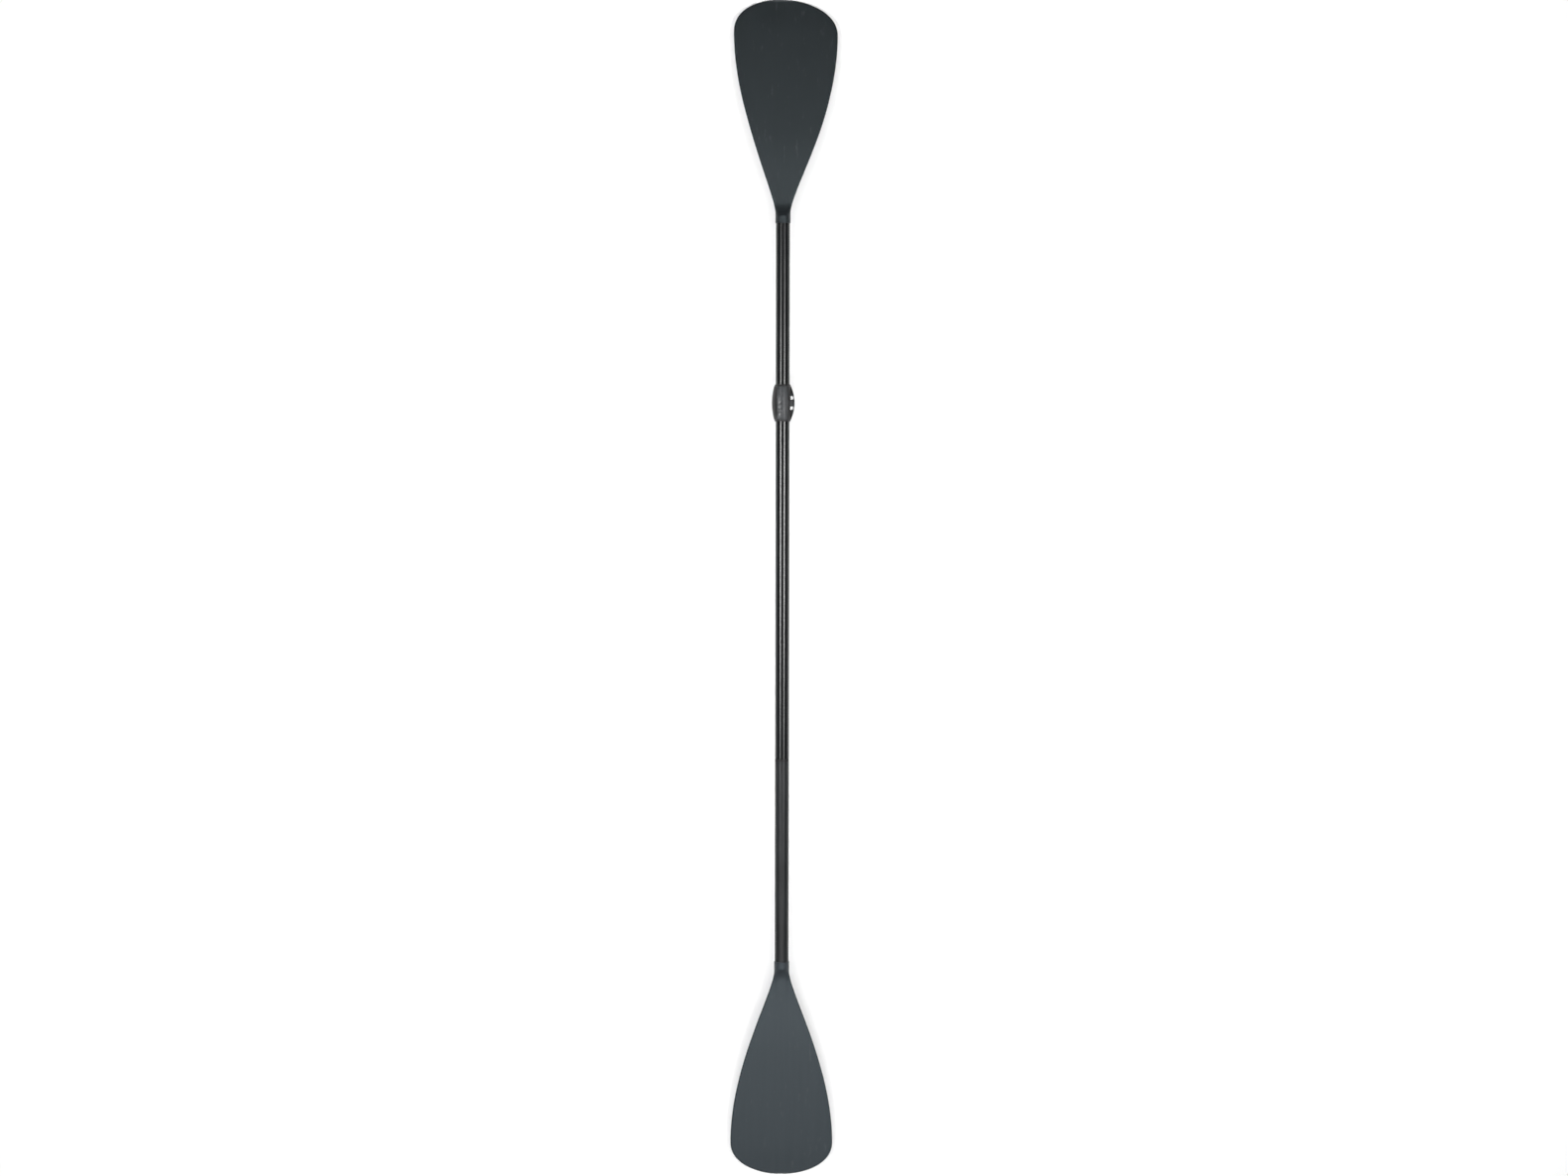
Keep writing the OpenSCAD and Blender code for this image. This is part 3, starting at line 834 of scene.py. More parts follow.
@dataclass
class Blade:
    """A moulded blade with its neck and the plug that goes into the tube.

    Attributes:
        node: The CAD node it stands for.
        tube: The CAD node of the tube that it plugs into.
        body: The body it rides on.
        finish: Its plastic.
        way: +1 where its tip points along X, -1 where it points back.
        slant: Slant of its tip, in degrees.
        sweep: Sideways offset of its centre line.
        length: Its length from the tube's end to the tip.
        width: Its widest width.
        widest: Distance from the tip to the widest place.
        edge: Thickness along its edge.
        middle: Thickness along its middle.
        rake: Angle that it leans back, in degrees.
        rake_bend: Length over which it turns to that angle.
        cup: How far the power face is dished.
        neck_l: Length of the round neck.
        neck_proud: How far the neck stands proud of the tube.
        plug_r: Radius of the plug.
        plug_l: Length of the plug.
        spine_l: Length of the ridge behind the neck.
        ridge_l: Length of the low ridge on the power face.
        ridge_share: Height of that ridge as a share of the neck's radius.
        sleeve_l: Length of the neck that stays round in front.
        throat_l: Length over which the neck's front drops to the ridge.
        rim: Width of the rolled edge.
        tip_flat: Half width of the tip's straight end.
        tip_pull: How far the tip's curve runs on straight across.
        shoulder_pull: How far the curve runs straight before the widest place.
        flank_pull: How far it runs straight after the widest place.
        neck_pull: How far it runs straight before the neck.
        fatten_l: Length from the tip over which the middle thickens.
        run_l: Length over which the dish and the sideways offset build up.
        blend: Softness of the meeting of ridge and plate.
        across: Points across each face.
        steps: Steps along the tip's curve, the flank's and the neck.
    """

    node: str
    tube: str
    body: Body
    finish: Finish
    way: int
    slant: float = 0.0
    sweep: float = 0.0
    length: float = 0.445
    width: float = 0.206
    widest: float = 0.068
    edge: float = 0.003
    middle: float = 0.005
    rake: float = 8.0
    rake_bend: float = 0.160
    cup: float = 0.005
    neck_l: float = 0.020
    neck_proud: float = 0.001
    plug_r: float = 0.012725
    plug_l: float = 0.060
    spine_l: float = 0.250
    ridge_l: float = 0.150
    ridge_share: float = 0.3
    sleeve_l: float = 0.014
    throat_l: float = 0.030
    rim: float = 0.0032
    tip_flat: float = 0.006
    tip_pull: float = 0.030
    shoulder_pull: float = 0.052
    flank_pull: float = 0.162
    neck_pull: float = 0.041
    fatten_l: float = 0.06
    run_l: float = 0.2
    blend: float = 0.0012
    across: int = 64
    steps: tuple[int, int, int] = (46, 150, 14)

    def __post_init__(self) -> None:
        """Takes the blade's place from the frame."""
        low, high, _ = span(self.tube)
        self.tube_r = (high.z - low.z) / 2
        self.axis_z = (high.z + low.z) / 2
        self.neck_x = high.x if self.way > 0 else low.x
        self.neck_r = self.tube_r + self.neck_proud

    @staticmethod
    def _curve(handles: Sequence[Point], steps: int) -> list[tuple[float, float]]:
        """Points along a cubic curve.

        Args:
            handles: Its four handles.
            steps: How many points to take.

        Returns:
            The points, without the curve's last.
        """
        p = [Vector(h) for h in handles]
        out = []
        for i in range(steps):
            t = i / steps
            q = ((1 - t) ** 3 * p[0] + 3 * t * (1 - t) ** 2 * p[1]
                 + 3 * t * t * (1 - t) * p[2] + t ** 3 * p[3])
            out.append((q.x, q.y))
        return out

    def outline(self) -> list[tuple[float, float]]:
        """The blade's half width along its length.

        Returns:
            Distance from the tip and half width, from the tip to the neck's end.
        """
        wide, neck_at = self.width / 2, self.length - self.neck_l
        tip = [(0, self.tip_flat), (0, self.tip_flat + self.tip_pull),
               (self.widest - self.shoulder_pull, wide), (self.widest, wide)]
        flank = [(self.widest, wide), (self.widest + self.flank_pull, wide),
                 (neck_at - self.neck_pull, self.neck_r), (neck_at, self.neck_r)]
        tip_steps, flank_steps, neck_steps = self.steps
        neck = [(neck_at + self.neck_l * i / neck_steps, self.neck_r) for i in range(neck_steps + 1)]
        return self._curve(tip, tip_steps) + self._curve(flank, flank_steps) + neck

    def drop(self, u: np.ndarray) -> np.ndarray:
        """How far the blade's middle plane has leaned back.

        Args:
            u: Distances from the tube's end.

        Returns:
            The drop at each.
        """
        t = np.maximum(0.0, u - self.neck_l)
        bend = self.rake_bend
        return math.tan(math.radians(self.rake)) * np.where(t < bend, t * t / (2 * bend), t - bend / 2)

    @staticmethod
    def ease(t: np.ndarray) -> np.ndarray:
        """A soft step from 0 to 1."""
        c = np.clip(t, 0.0, 1.0)
        return c * c * (3 - 2 * c)

    def front_share(self, u: np.ndarray) -> np.ndarray:
        """Share of the neck's round core that stands on the power face.

        Args:
            u: Distances from the tube's end.

        Returns:
            The share at each.
        """
        t = np.clip((u - self.sleeve_l) / self.throat_l, 0.0, 1.0)
        ridge = 1 - self.ease((u - self.neck_l / 2) / self.ridge_l)
        return (1 - self.ridge_share) * (1 - t) ** 2.1 + self.ridge_share * ridge

    def _ring(self) -> tuple[np.ndarray, np.ndarray, np.ndarray]:
        """What places the points of one ring.

        Returns:
            Each point's number, whether it is on the power face, and its angle from the middle line.
        """
        k = np.arange(2 * self.across)
        front = k <= self.across
        turn = k * 180 / self.across
        return k, front, np.radians(np.where(front, turn - 90, 270 - turn))

    def surface(self) -> np.ndarray:
        """The blade's surface, tip to neck.

        Returns:
            Rings of points, each running across the front and back across the rear.
        """
        outline = np.array(self.outline())
        s, w = outline[:, :1], outline[:, 1:]
        k, front, angle = self._ring()
        a = angle[None, :]
        u = self.length - s
        y = w * np.sin(a)
        gap = np.broadcast_to(s, y.shape)
        for edge_s, edge_w in self.outline():
            gap = np.minimum(gap, np.hypot(s - edge_s, np.abs(y) - edge_w))
        roll = np.sqrt(1 - (1 - np.clip(gap / self.rim, 0, 1)) ** 2)
        thick = self.ease(s / self.fatten_l) * np.cos(a) ** 2 * (self.middle - self.edge) / 2
        plate = self.edge / 2 * roll + thick
        rear_share = 1 - self.ease((u - self.neck_l / 2) / self.spine_l)
        share = np.where(front[None, :], self.front_share(u), rear_share)
        core = share * np.sqrt(np.maximum(0.0, self.neck_r ** 2 - y ** 2))
        half = (core + plate + np.sqrt((core - plate) ** 2 + self.blend ** 2)) / 2
        half -= self.blend / 2 * (1 - roll)
        half = np.maximum(0.0, half) * np.minimum(1.0, roll * 1.6)
        grow = self.ease((u - self.neck_l * 0.4) / (self.neck_l * 0.6))
        half = half * grow + self.neck_r * np.abs(np.cos(a)) * (1 - grow)
        half = np.where((k % self.across == 0)[None, :], 0.0, half)
        run = self.ease((u - self.neck_l) / self.run_l)
        dish = self.cup * (2 * y / self.width) ** 2 * run
        z = dish - self.drop(u) + np.where(front, 1, -1)[None, :] * half
        x = u + y * math.tan(math.radians(self.slant)) * (u / self.length) ** 2
        return np.stack([np.broadcast_to(x, y.shape), y - self.sweep * run, z], axis=2)

    def plug(self) -> np.ndarray:
        """The neck's shoulder and the plug.

        Returns:
            Rings of points that follow the blade's own.
        """
        k, front, a = self._ring()
        face = np.where(front, 1, -1)
        chamfer = 0.0008
        rings = [(0.0, self.plug_r + 0.0003), (-0.0003, self.plug_r), (chamfer - self.plug_l, self.plug_r),
                 (-self.plug_l, self.plug_r - chamfer)]
        out = [np.stack([np.full(k.shape, u), r * np.sin(a), face * r * np.abs(np.cos(a))], axis=1)
               for u, r in rings]
        return np.array(out)

    def build(self) -> bpy.types.Object:
        """Builds the blade and hands it to the frame.

        Returns:
            The finished blade.
        """
        rings = np.concatenate([self.surface(), self.plug()])
        count, ring = rings.shape[:2]
        points = rings.reshape(-1, 3)
        points[:, 0] *= self.way
        points += np.array([self.neck_x, 0.0, self.axis_z])
        faces = ring_faces(count, ring)
        faces.append(tuple(range(count * ring - ring, count * ring)))
        piece = tidied(new_piece(self.node + "_shell", points, faces), 1e-6)
        dressed(piece, self.finish, 40.0)
        return mounted(piece, self.body, self.finish, self.node)


# --------------------------------------------------------------------------------------- the shaft


@dataclass
class Tube:
    """A turned tube on the shaft's axis, with eased ends and any holes in its back.

    Attributes:
        node: The CAD node it stands for.
        body: The body it rides on.
        finish: Its finish.
        wall: Its wall.
        holes: X and radius of each hole in its back.
        kerf: Width and length of the slits in its upper end, or nothing.
        chamfer: Width of the eased edges.
    """

    node: str
    body: Body
    finish: Finish
    wall: float
    holes: tuple[tuple[float, float], ...] = ()
    kerf: tuple[float, float] | None = None
    chamfer: float = 0.00025

    def build(self) -> bpy.types.Object:
        """Turns the tube, cuts its holes and slits, and hands it to the frame.

        Returns:
            The finished tube.
        """
        low, high, middle = span(self.node)
        outer = (high.y - low.y) / 2
        inner, c = outer - self.wall, self.chamfer
        outline = [(low.x, inner + c), (low.x, outer - c), (low.x + c, outer), (high.x - c, outer),
                   (high.x, outer - c), (high.x, inner + c), (high.x - c, inner), (low.x + c, inner)]
        centre = (0.0, middle.y, middle.z)
        piece = turned(self.node + "_skin", outline, centre, Along.SHAFT, 128)
        for x, radius in self.holes:
            depth = outer + PAST
            hole = turned("hole", [(-depth, 0), (-depth, radius), (0, radius), (0, 0)],
                          (x, middle.y, middle.z), Along.UPRIGHT, 48)
            combine(piece, Cut.AWAY, hole)
        if self.kerf:
            width, length = self.kerf
            slit = block("slit", (high.x - length, low.y - PAST, middle.z - width / 2),
                         (high.x + PAST, high.y + PAST, middle.z + width / 2))
            combine(piece, Cut.AWAY, slit)
        dressed(piece, self.finish, 30.0)
        return mounted(piece, self.body, self.finish, self.node)


@dataclass
class Shaft:
    """The three shaft tubes and what is bonded into them.

    Attributes:
        wall: Wall of the shaft tubes.
        spigot_wall: Wall of the spigot tube.
        ferrule_wall: Wall of the ferrule.
        rivet_inset: Distance from a tube's end to the blade's rivet.
        rivet_r: Radius of the rivet's shank.
        button_r: Radius of the button.
        button_gap: Clearance of the button in its holes.
        ring_wall: Wall of the joint ring.
        kerf: Width and length of the slits in the middle tube.
    """

    wall: float = 0.0012
    spigot_wall: float = 0.0012
    ferrule_wall: float = 0.0016
    rivet_inset: float = 0.025
    rivet_r: float = 0.002
    button_r: float = 0.0035
    button_gap: float = 0.0001
    ring_wall: float = 0.001275
    kerf: tuple[float, float] = (0.002, 0.048)

    def build(self) -> None:
        """Builds the tubes."""
        upper_end = span("upper_tube")[1].x
        lower_end = span("lower_tube")[0].x
        button_hole = (span("snap_button")[2].x, self.button_r + self.button_gap)
        Tube("upper_tube", Body.UPPER, GLOSS_TUBE, self.wall,
             holes=((upper_end - self.rivet_inset, self.rivet_r),)).build()
        Tube("middle_tube", Body.MIDDLE, GLOSS_TUBE, self.wall, holes=(button_hole,),
             kerf=self.kerf).build()
        Tube("lower_tube", Body.LOWER, SATIN_TUBE, self.wall,
             holes=((lower_end + self.rivet_inset, self.rivet_r),)).build()
        Tube("spigot_tube", Body.UPPER, BARE_ALLOY, self.spigot_wall).build()
        Tube("ferrule", Body.LOWER, BARE_ALLOY, self.ferrule_wall, holes=(button_hole,)).build()
        Tube("joint_ring", Body.LOWER, JOINT_NYLON, self.ring_wall, chamfer=0.0004).build()


# --------------------------------------------------------------------------------------- the clamp


@dataclass
class Clamp:
    """The split collar, its cam lever, the pin, the pad and the bolts.

    Attributes:
        wall: Wall of the collar at its middle.
        end_wall: Wall of the collar at its ends.
        swell_r: Radius of the barrel's curve.
        end_round: Round on the collar's ends.
        lip: Thickness of the lip that stops the upper tube.
        slit: Width of the slit.
        ear_half_l: Half length of the ears.
        ear_reach: How far the ears reach past the tube.
        ear_back: Distance of the rear ear's back from the axis.
        ear_swell_r: Radius of the ears' curve.
        pin_out: Distance of the pin from the tube, sideways.
        pin_rise: Height of the pin over the tube.
        pin_half_l: Half length of the pin.
        hub_r: Radius of the lever's hub.
        hub_swell_r: Radius of the hub's barrel curve.
        cam_throw: The cam's throw.
        lever_gap: Gap between lever and collar.
        lever_t: Thickness of the lever.
        lever_half_l: Half length of the lever.
        lever_reach: How far the lever reaches past the centre line.
        pin_r: Radius of the pin.
        pin_gap: Clearance of the pin in the hub.
        pad_gap: Gap between the cam and the wear pad.
        pad_t: Thickness of the wear pad.
        lever_root: Distance from the pin to the lever plate's edge.
        bolt_pitch: Distance between the bolts.
        bolt_r: Radius of the bolts.
        bolt_gap: Clearance round the bolts.
        bolt_head_r: Radius of their heads.
        bolt_head_h: Height of their heads.
        bolt_sink: How far the heads sit under the ear's face.
        groove_pitch: Distance between the deep finger grooves.
        groove_shift: Offset of the middle one.
        groove_w: Width of the deep grooves.
        groove_fine: Width of the fine grooves.
        groove_depth: Depth of the grooves.
        pad_inset: Distance of the end pads from the lever's ends.
        groove_start: Where the grooves start, from the centre line.
        ear_root: How far the ears run in under the barrel, from the tube's wall.
        ear_round: Round on the ears' edges.
        spigot_r: Radius of the spigot tube.
        mouth_gap: Clearance of the spigot in the collar's mouth.
        recess_gap: Room past each end of the pin.
        shelf_out: Distance of the lever's recess from the tube.
        ridge: Y where the lever's thumb ridge rises and falls.
        ridge_h: Height of that ridge.
        root_fall: How far the plate falls away towards the hub.
    """

    wall: float = 0.0073
    end_wall: float = 0.0009
    swell_r: float = 0.130
    end_round: float = 0.003
    lip: float = 0.0035
    slit: float = 0.003
    ear_half_l: float = 0.031
    ear_reach: float = 0.0096
    ear_back: float = 0.0115
    ear_swell_r: float = 0.078
    pin_out: float = 0.0033
    pin_rise: float = 0.0005
    pin_half_l: float = 0.016
    pin_r: float = 0.004
    pin_gap: float = 0.00005
    hub_r: float = 0.0065
    hub_swell_r: float = 0.075
    cam_throw: float = 0.0006
    pad_gap: float = 0.0003
    pad_t: float = 0.001
    lever_gap: float = 0.0004
    lever_t: float = 0.0034
    lever_half_l: float = 0.033
    lever_reach: float = 0.0112
    lever_root: float = 0.0042
    bolt_pitch: float = 0.020
    bolt_r: float = 0.002
    bolt_gap: float = 0.0003
    bolt_head_r: float = 0.0035
    bolt_head_h: float = 0.0036
    bolt_sink: float = 0.0004
    groove_pitch: float = 0.0175
    groove_shift: float = -0.0023
    groove_w: float = 0.0022
    groove_fine: float = 0.0013
    groove_depth: float = 0.0019
    pad_inset: float = 0.0018
    groove_start: float = 0.0004
    ear_root: float = 0.004
    ear_round: float = 0.0012
    spigot_r: float = 0.012725
    mouth_gap: float = 0.0003
    recess_gap: float = 0.0015
    shelf_out: float = 0.0014
    ridge: tuple[float, float, float, float] = (-0.0062, -0.0050, -0.0022, -0.0010)
    ridge_h: float = 0.0005
    root_fall: float = 0.0009

    def __post_init__(self) -> None:
        """Takes the clamp's place from the frame."""
        low, high, middle = span("clamp_collar")
        tube_low, tube_high, tube_middle = span("middle_tube")
        self.tube_r = (tube_high.z - tube_low.z) / 2
        self.half_l = (high.x - low.x) / 2
        self.centre = Vector((middle.x, 0.0, tube_middle.z))
        self.ear_y = -(self.tube_r + self.ear_reach)
        self.collar_r = self.tube_r + self.wall
        self.pin_y = -(self.tube_r + self.pin_out)
        self.pin_z = self.tube_r + self.pin_rise
        self.pad_z = self.pin_z - self.hub_r - self.cam_throw - self.pad_gap - self.pad_t

    def barrel_r(self, grow: float, x: float) -> float:
        """Radius of the barrel at x from the clamp's middle, grown by a margin."""
        return self.collar_r + grow - self.swell_r + math.sqrt(self.swell_r ** 2 - x * x)

    def at(self, x: float, y: float, z: float) -> tuple[float, float, float]:
        """A point given from the clamp's middle, in the row frame."""
        return (self.centre.x + x, self.centre.y + y, self.centre.z + z)

    def _barrel(self, name: str, grow: float, half: float) -> bpy.types.Object:
        """A solid barrel about the shaft with rounded ends.

        Args:
            name: The object's name.
            grow: How far it is grown past the collar's radius.
            half: Its half length.

        Returns:
            The barrel.
        """
        corner = self.barrel_r(grow, half)
        fall = min(self.end_round, corner - self.tube_r - self.end_wall)
        flat = half - self.end_round
        end = [(half - self.end_round * (1 - math.cos(t)), corner - fall * (1 - math.sin(t)))
               for t in (math.radians(9 * i) for i in range(11))]
        body = [(flat * i / 24, self.barrel_r(grow, flat * i / 24)) for i in range(-23, 24)]
        outline = [(-half, 0.0)] + [(-x, r) for x, r in end] + body + end[::-1] + [(half, 0.0)]
        return turned(name, outline, self.centre, Along.SHAFT, 144)

    def _bolt_places(self) -> list[float]:
        """X of each bolt from the clamp's middle."""
        return [-self.bolt_pitch / 2, self.bolt_pitch / 2]

    def collar(self) -> bpy.types.Object:
        """The split collar with its ears.

        Returns:
            The finished collar.
        """
        piece = self._barrel("clamp_collar_shell", 0.0, self.half_l)
        arc = []
        for i in range(-24, 25):
            x = self.ear_half_l * i / 24
            arc.append((x, self.ear_y + self.ear_swell_r - math.sqrt(self.ear_swell_r ** 2 - x * x)))
        root = self.ear_root - self.tube_r
        outline = arc + [(self.ear_half_l, root), (-self.ear_half_l, root)]
        ears = prism("ears", outline, -self.ear_back, self.pad_z, Along.UPRIGHT, self.centre)
        softened(ears, self.ear_round, 3)
        combine(piece, Cut.JOIN, ears)
        past, stop = self.half_l + PAST, self.half_l - self.lip
        bore = turned("bore", [(-past, 0), (-past, self.tube_r), (stop, self.tube_r), (stop, 0)],
                      self.centre, Along.SHAFT, 144)
        mouth = self.spigot_r + self.mouth_gap
        throat = turned("throat", [(0, 0), (0, mouth), (past, mouth), (past, 0)],
                        self.centre, Along.SHAFT, 144)
        slit = block("slit", self.at(-past, -0.05, -self.slit / 2), self.at(past, 0, self.slit / 2))
        clear = self.hub_r + self.cam_throw + self.pad_gap
        reach = self.pin_half_l + self.recess_gap
        recess = turned("recess", [(-reach, 0), (-reach, clear), (reach, clear), (reach, 0)],
                        self.at(0, self.pin_y, self.pin_z), Along.SHAFT, 96)
        shelf_l = self.ear_half_l + 0.0001
        shelf = block("shelf", self.at(-shelf_l, 2 * self.ear_y, self.pad_z),
                      self.at(shelf_l, -self.tube_r - self.shelf_out, self.pad_z + self.tube_r))
        combine(piece, Cut.AWAY, bore, throat, slit, recess, shelf)
        for x in self._bolt_places():
            shank, head = self.bolt_r + self.bolt_gap, self.bolt_head_r + self.bolt_gap
            sink = self.bolt_head_h + self.bolt_sink
            start, seat = -self.ear_back - PAST, sink - self.ear_back
            outline = [(start, 0), (start, head), (seat, head), (seat, shank), (self.tube_r, shank),
                       (self.tube_r, 0)]
            hole = turned("bolt_hole", outline, self.at(x, self.pin_y, 0), Along.UPRIGHT, 64)
            combine(piece, Cut.AWAY, hole)
        softened(piece, 0.00035, 2)
        dressed(piece, CLAMP_NYLON)
        return mounted(piece, Body.MIDDLE, CLAMP_NYLON, "clamp_collar")

    def _lever_shell(self) -> bpy.types.Object:
        """The lever's curved plate, sunk under the finger ribs and raised along a thumb ridge.

        Returns:
            The plate.
        """
        along, round_steps = 97, 72
        from_y, to_y = self.pin_y + self.lever_root, self.lever_reach
        rings = []
        for i in range(along):
            x = self.lever_half_l * (2 * i / (along - 1) - 1)
            outer_r = self.barrel_r(self.lever_gap + self.lever_t, x)
            inner_r = self.barrel_r(self.lever_gap, x)
            edge = min(1.0, (self.lever_half_l - abs(x)) / 0.004)
            ring = []
            for k in range(round_steps):
                y = from_y + (to_y - from_y) * k / (round_steps - 1)
                start = self.groove_start
                sunk = self.groove_depth * self._step(y, start - 0.0004, start + 0.0003)
                sunk *= self._step(self.lever_half_l - abs(x), 0.0010, 0.0022)
                ridge = edge * self._step(y, *self.ridge[:2]) * (1 - self._step(y, *self.ridge[2:]))
                fall = self.root_fall * (1 - self._step(y, -0.0075, -0.0056))
                r = outer_r - sunk - fall - self.ridge_h * (1 - ridge)
                ring.append((y, math.sqrt(max(0.0, r * r - y * y))))
            for k in range(round_steps):
                y = to_y - (to_y - from_y) * k / (round_steps - 1)
                ring.append((y, math.sqrt(inner_r ** 2 - y * y)))
            rings.append([self.at(x, y, z) for y, z in ring])
        count = 2 * round_steps
        points = [p for ring in rings for p in ring]
        faces = ring_faces(along, count)
        for end in (0, along - 1):
            base = end * count
            faces += [(base + k, base + k + 1, base + count - k - 2, base + count - k - 1)
                      for k in range(round_steps - 1)]
        return tidied(new_piece("clamp_lever_shell", points, faces))

    @staticmethod
    def _step(value: float, low: float, high: float) -> float:
        """A soft step.

        Args:
            value: Where it is read.
            low: Where it leaves 0.
            high: Where it reaches 1.

        Returns:
            The step's value, from 0 to 1.
        """
        t = min(1.0, max(0.0, (value - low) / (high - low)))
        return t * t * (3 - 2 * t)

    def _finger_ribs(self) -> bpy.types.Object:
        """The lever's finger ribs, laid in a row by a node tree.

        Returns:
            The ribs as one plain mesh.
        """
        tree = bpy.data.node_groups.new("finger_ribs", "GeometryNodeTree")
        tree.interface.new_socket("Geometry", in_out="OUTPUT", socket_type="NodeSocketGeometry")
        sizes = {"Count": ("NodeSocketInt", 2), "Pitch": ("NodeSocketFloat", self.groove_pitch),
                 "First": ("NodeSocketFloat", 0.0), "Width": ("NodeSocketFloat", 0.008),
                 "Inner": ("NodeSocketFloat", 0.02), "Outer": ("NodeSocketFloat", 0.025),
                 "From": ("NodeSocketFloat", 0.0), "To": ("NodeSocketFloat", 0.01),
                 "Swell": ("NodeSocketFloat", self.swell_r)}
        for name, (kind, value) in sizes.items():
            tree.interface.new_socket(name, in_out="INPUT", socket_type=kind).default_value = value
        graph = Graph(tree)
        given = graph.node("NodeGroupInput")
        ask = {name: given.out(name) for name in sizes}
        depth = ask["Outer"] - ask["Inner"]
        size = graph.node("ShaderNodeCombineXYZ",
                          sockets={0: ask["Width"], 1: ask["To"] - ask["From"], 2: depth})
        bar = graph.node("GeometryNodeMeshCube",
                         sockets={"Size": size, "Vertices X": 9, "Vertices Y": 25, "Vertices Z": 5})
        start = graph.node("ShaderNodeCombineXYZ", sockets={0: ask["First"]})
        stride = graph.node("ShaderNodeCombineXYZ", sockets={0: ask["Pitch"]})
        row = graph.node("GeometryNodeMeshLine",
                         sockets={"Count": ask["Count"], "Start Location": start, "Offset": stride})
        laid = graph.node("GeometryNodeInstanceOnPoints", sockets={"Points": row, "Instance": bar})
        plain = graph.node("GeometryNodeRealizeInstances", sockets={0: laid})
        place = graph.node("ShaderNodeSeparateXYZ", sockets={0: graph.node("GeometryNodeInputPosition")})
        y = place.out(Y) + (ask["To"] + ask["From"]) / 2.0
        swell = (ask["Swell"] * ask["Swell"] - place.out(X) * place.out(X)).root() - ask["Swell"]
        radius = place.out(Z) + (ask["Outer"] + ask["Inner"]) / 2.0 + swell
        z = (radius * radius - y * y).root()
        bent = graph.node("ShaderNodeCombineXYZ", sockets={0: place.out(X), 1: y, 2: z})
        curved = graph.node("GeometryNodeSetPosition", sockets={"Geometry": plain, "Position": bent})
        coat = graph.node("GeometryNodeSetMaterial", sockets={"Geometry": curved})
        coat.node.inputs["Material"].default_value = LEVER_NYLON.material()
        graph.node("NodeGroupOutput", sockets={0: coat})
        outer = self.barrel_r(self.lever_gap + self.lever_t, 0.0)
        free = self.groove_pitch - self.groove_w
        wide, narrow = free * 0.56, free * 0.44 - self.groove_fine
        edge = self.groove_shift + self.groove_w / 2
        top, bottom = edge + self.groove_pitch, edge - self.groove_w - self.groove_pitch
        reach = self.lever_half_l - self.pad_inset
        rows = {"finger_ribs_wide": (wide, edge - self.groove_w - wide / 2, 2),
                "finger_ribs_narrow": (narrow, edge - self.groove_pitch + narrow / 2, 2),
                "finger_pad_upper": (reach - top, (reach + top) / 2, 1),
                "finger_pad_lower": (bottom + reach, (bottom - reach) / 2, 1)}
        made = []
        for name, (width, first, count) in rows.items():
            holder = new_piece(name, [(0, 0, 0)], [])
            step = holder.modifiers.new("ribs", "NODES")
            step.node_group = tree
            values = {"Count": count, "First": first, "Width": width,
                      "Inner": outer - self.groove_depth - 0.0008, "Outer": outer,
                      "From": self.groove_start, "To": self.lever_reach - 0.0004}
            for item in tree.interface.items_tree:
                if item.name in values and item.in_out == "INPUT":
                    step[item.identifier] = values[item.name]
            baked(holder)
            softened(holder, 0.0005, 3, 50.0)
            made.append(holder)
        combine(made[0], Cut.JOIN, *made[1:])
        made[0].data.transform(Matrix.Translation(self.centre))
        return made[0]

    def _mark_grooves(self, piece: bpy.types.Object) -> None:
        """Writes how deep each point of the lever lies in the grooves, from 0 to 1, which the lever's
        finish darkens as painted shade.

        Args:
            piece: The finished lever.
        """
        depth = piece.data.attributes.new(SUNK, "FLOAT", "POINT")
        for point, value in zip(piece.data.vertices, depth.data):
            place = point.co - self.centre
            face = self.barrel_r(self.lever_gap + self.lever_t, min(abs(place.x), self.lever_half_l))
            deep = (face - math.hypot(place.y, place.z)) / self.groove_depth
            reach = self.lever_half_l - self.pad_inset
            inside = place.y > self.groove_start - 0.0003 and abs(place.x) < reach
            value.value = self._step(deep, 0.35, 0.95) if inside and deep < 1.2 else 0.0

    def lever(self) -> bpy.types.Object:
        """The cam lever: plate, hub, slots and finger ribs.

        Returns:
            The finished lever.
        """
        piece = softened(self._lever_shell(), 0.0007, 3, 50.0)
        half = self.pin_half_l + 0.0005
        swell = self.hub_swell_r
        rim = [(half * i / 12, self.hub_r - swell + math.sqrt(swell ** 2 - (half * i / 12) ** 2))
               for i in range(-12, 13)]
        hub = turned("hub", [(-half, 0.0)] + rim + [(half, 0.0)],
                     self.at(0, self.pin_y, self.pin_z - self.cam_throw), Along.SHAFT, 96)
        softened(hub, 0.0005, 2)
        combine(piece, Cut.JOIN, hub)
        past, bore_r = half + PAST, self.pin_r + self.pin_gap
        bore = turned("bore", [(-past, 0), (-past, bore_r), (past, bore_r), (past, 0)],
                      self.at(0, self.pin_y, self.pin_z), Along.SHAFT, 64)
        combine(piece, Cut.AWAY, bore)
        reach = 2 * self.hub_r
        first, last = 62.0, 270.0 + math.degrees(math.asin((self.bolt_r + 2 * self.bolt_gap) / self.pin_r))
        angles = [math.radians(first + (last - first) * i / 24) for i in range(25)]
        sector = [(0.0, 0.0)] + [(reach * math.cos(a), reach * math.sin(a)) for a in angles]
        for x in self._bolt_places():
            w = self.bolt_r + 2 * self.bolt_gap
            slot = prism("slot", sector, x - w, x + w, Along.SHAFT, self.at(0, self.pin_y, self.pin_z))
            combine(piece, Cut.AWAY, slot)
        combine(piece, Cut.JOIN, self._finger_ribs())
        softened(piece, 0.00018, 1, 45.0)
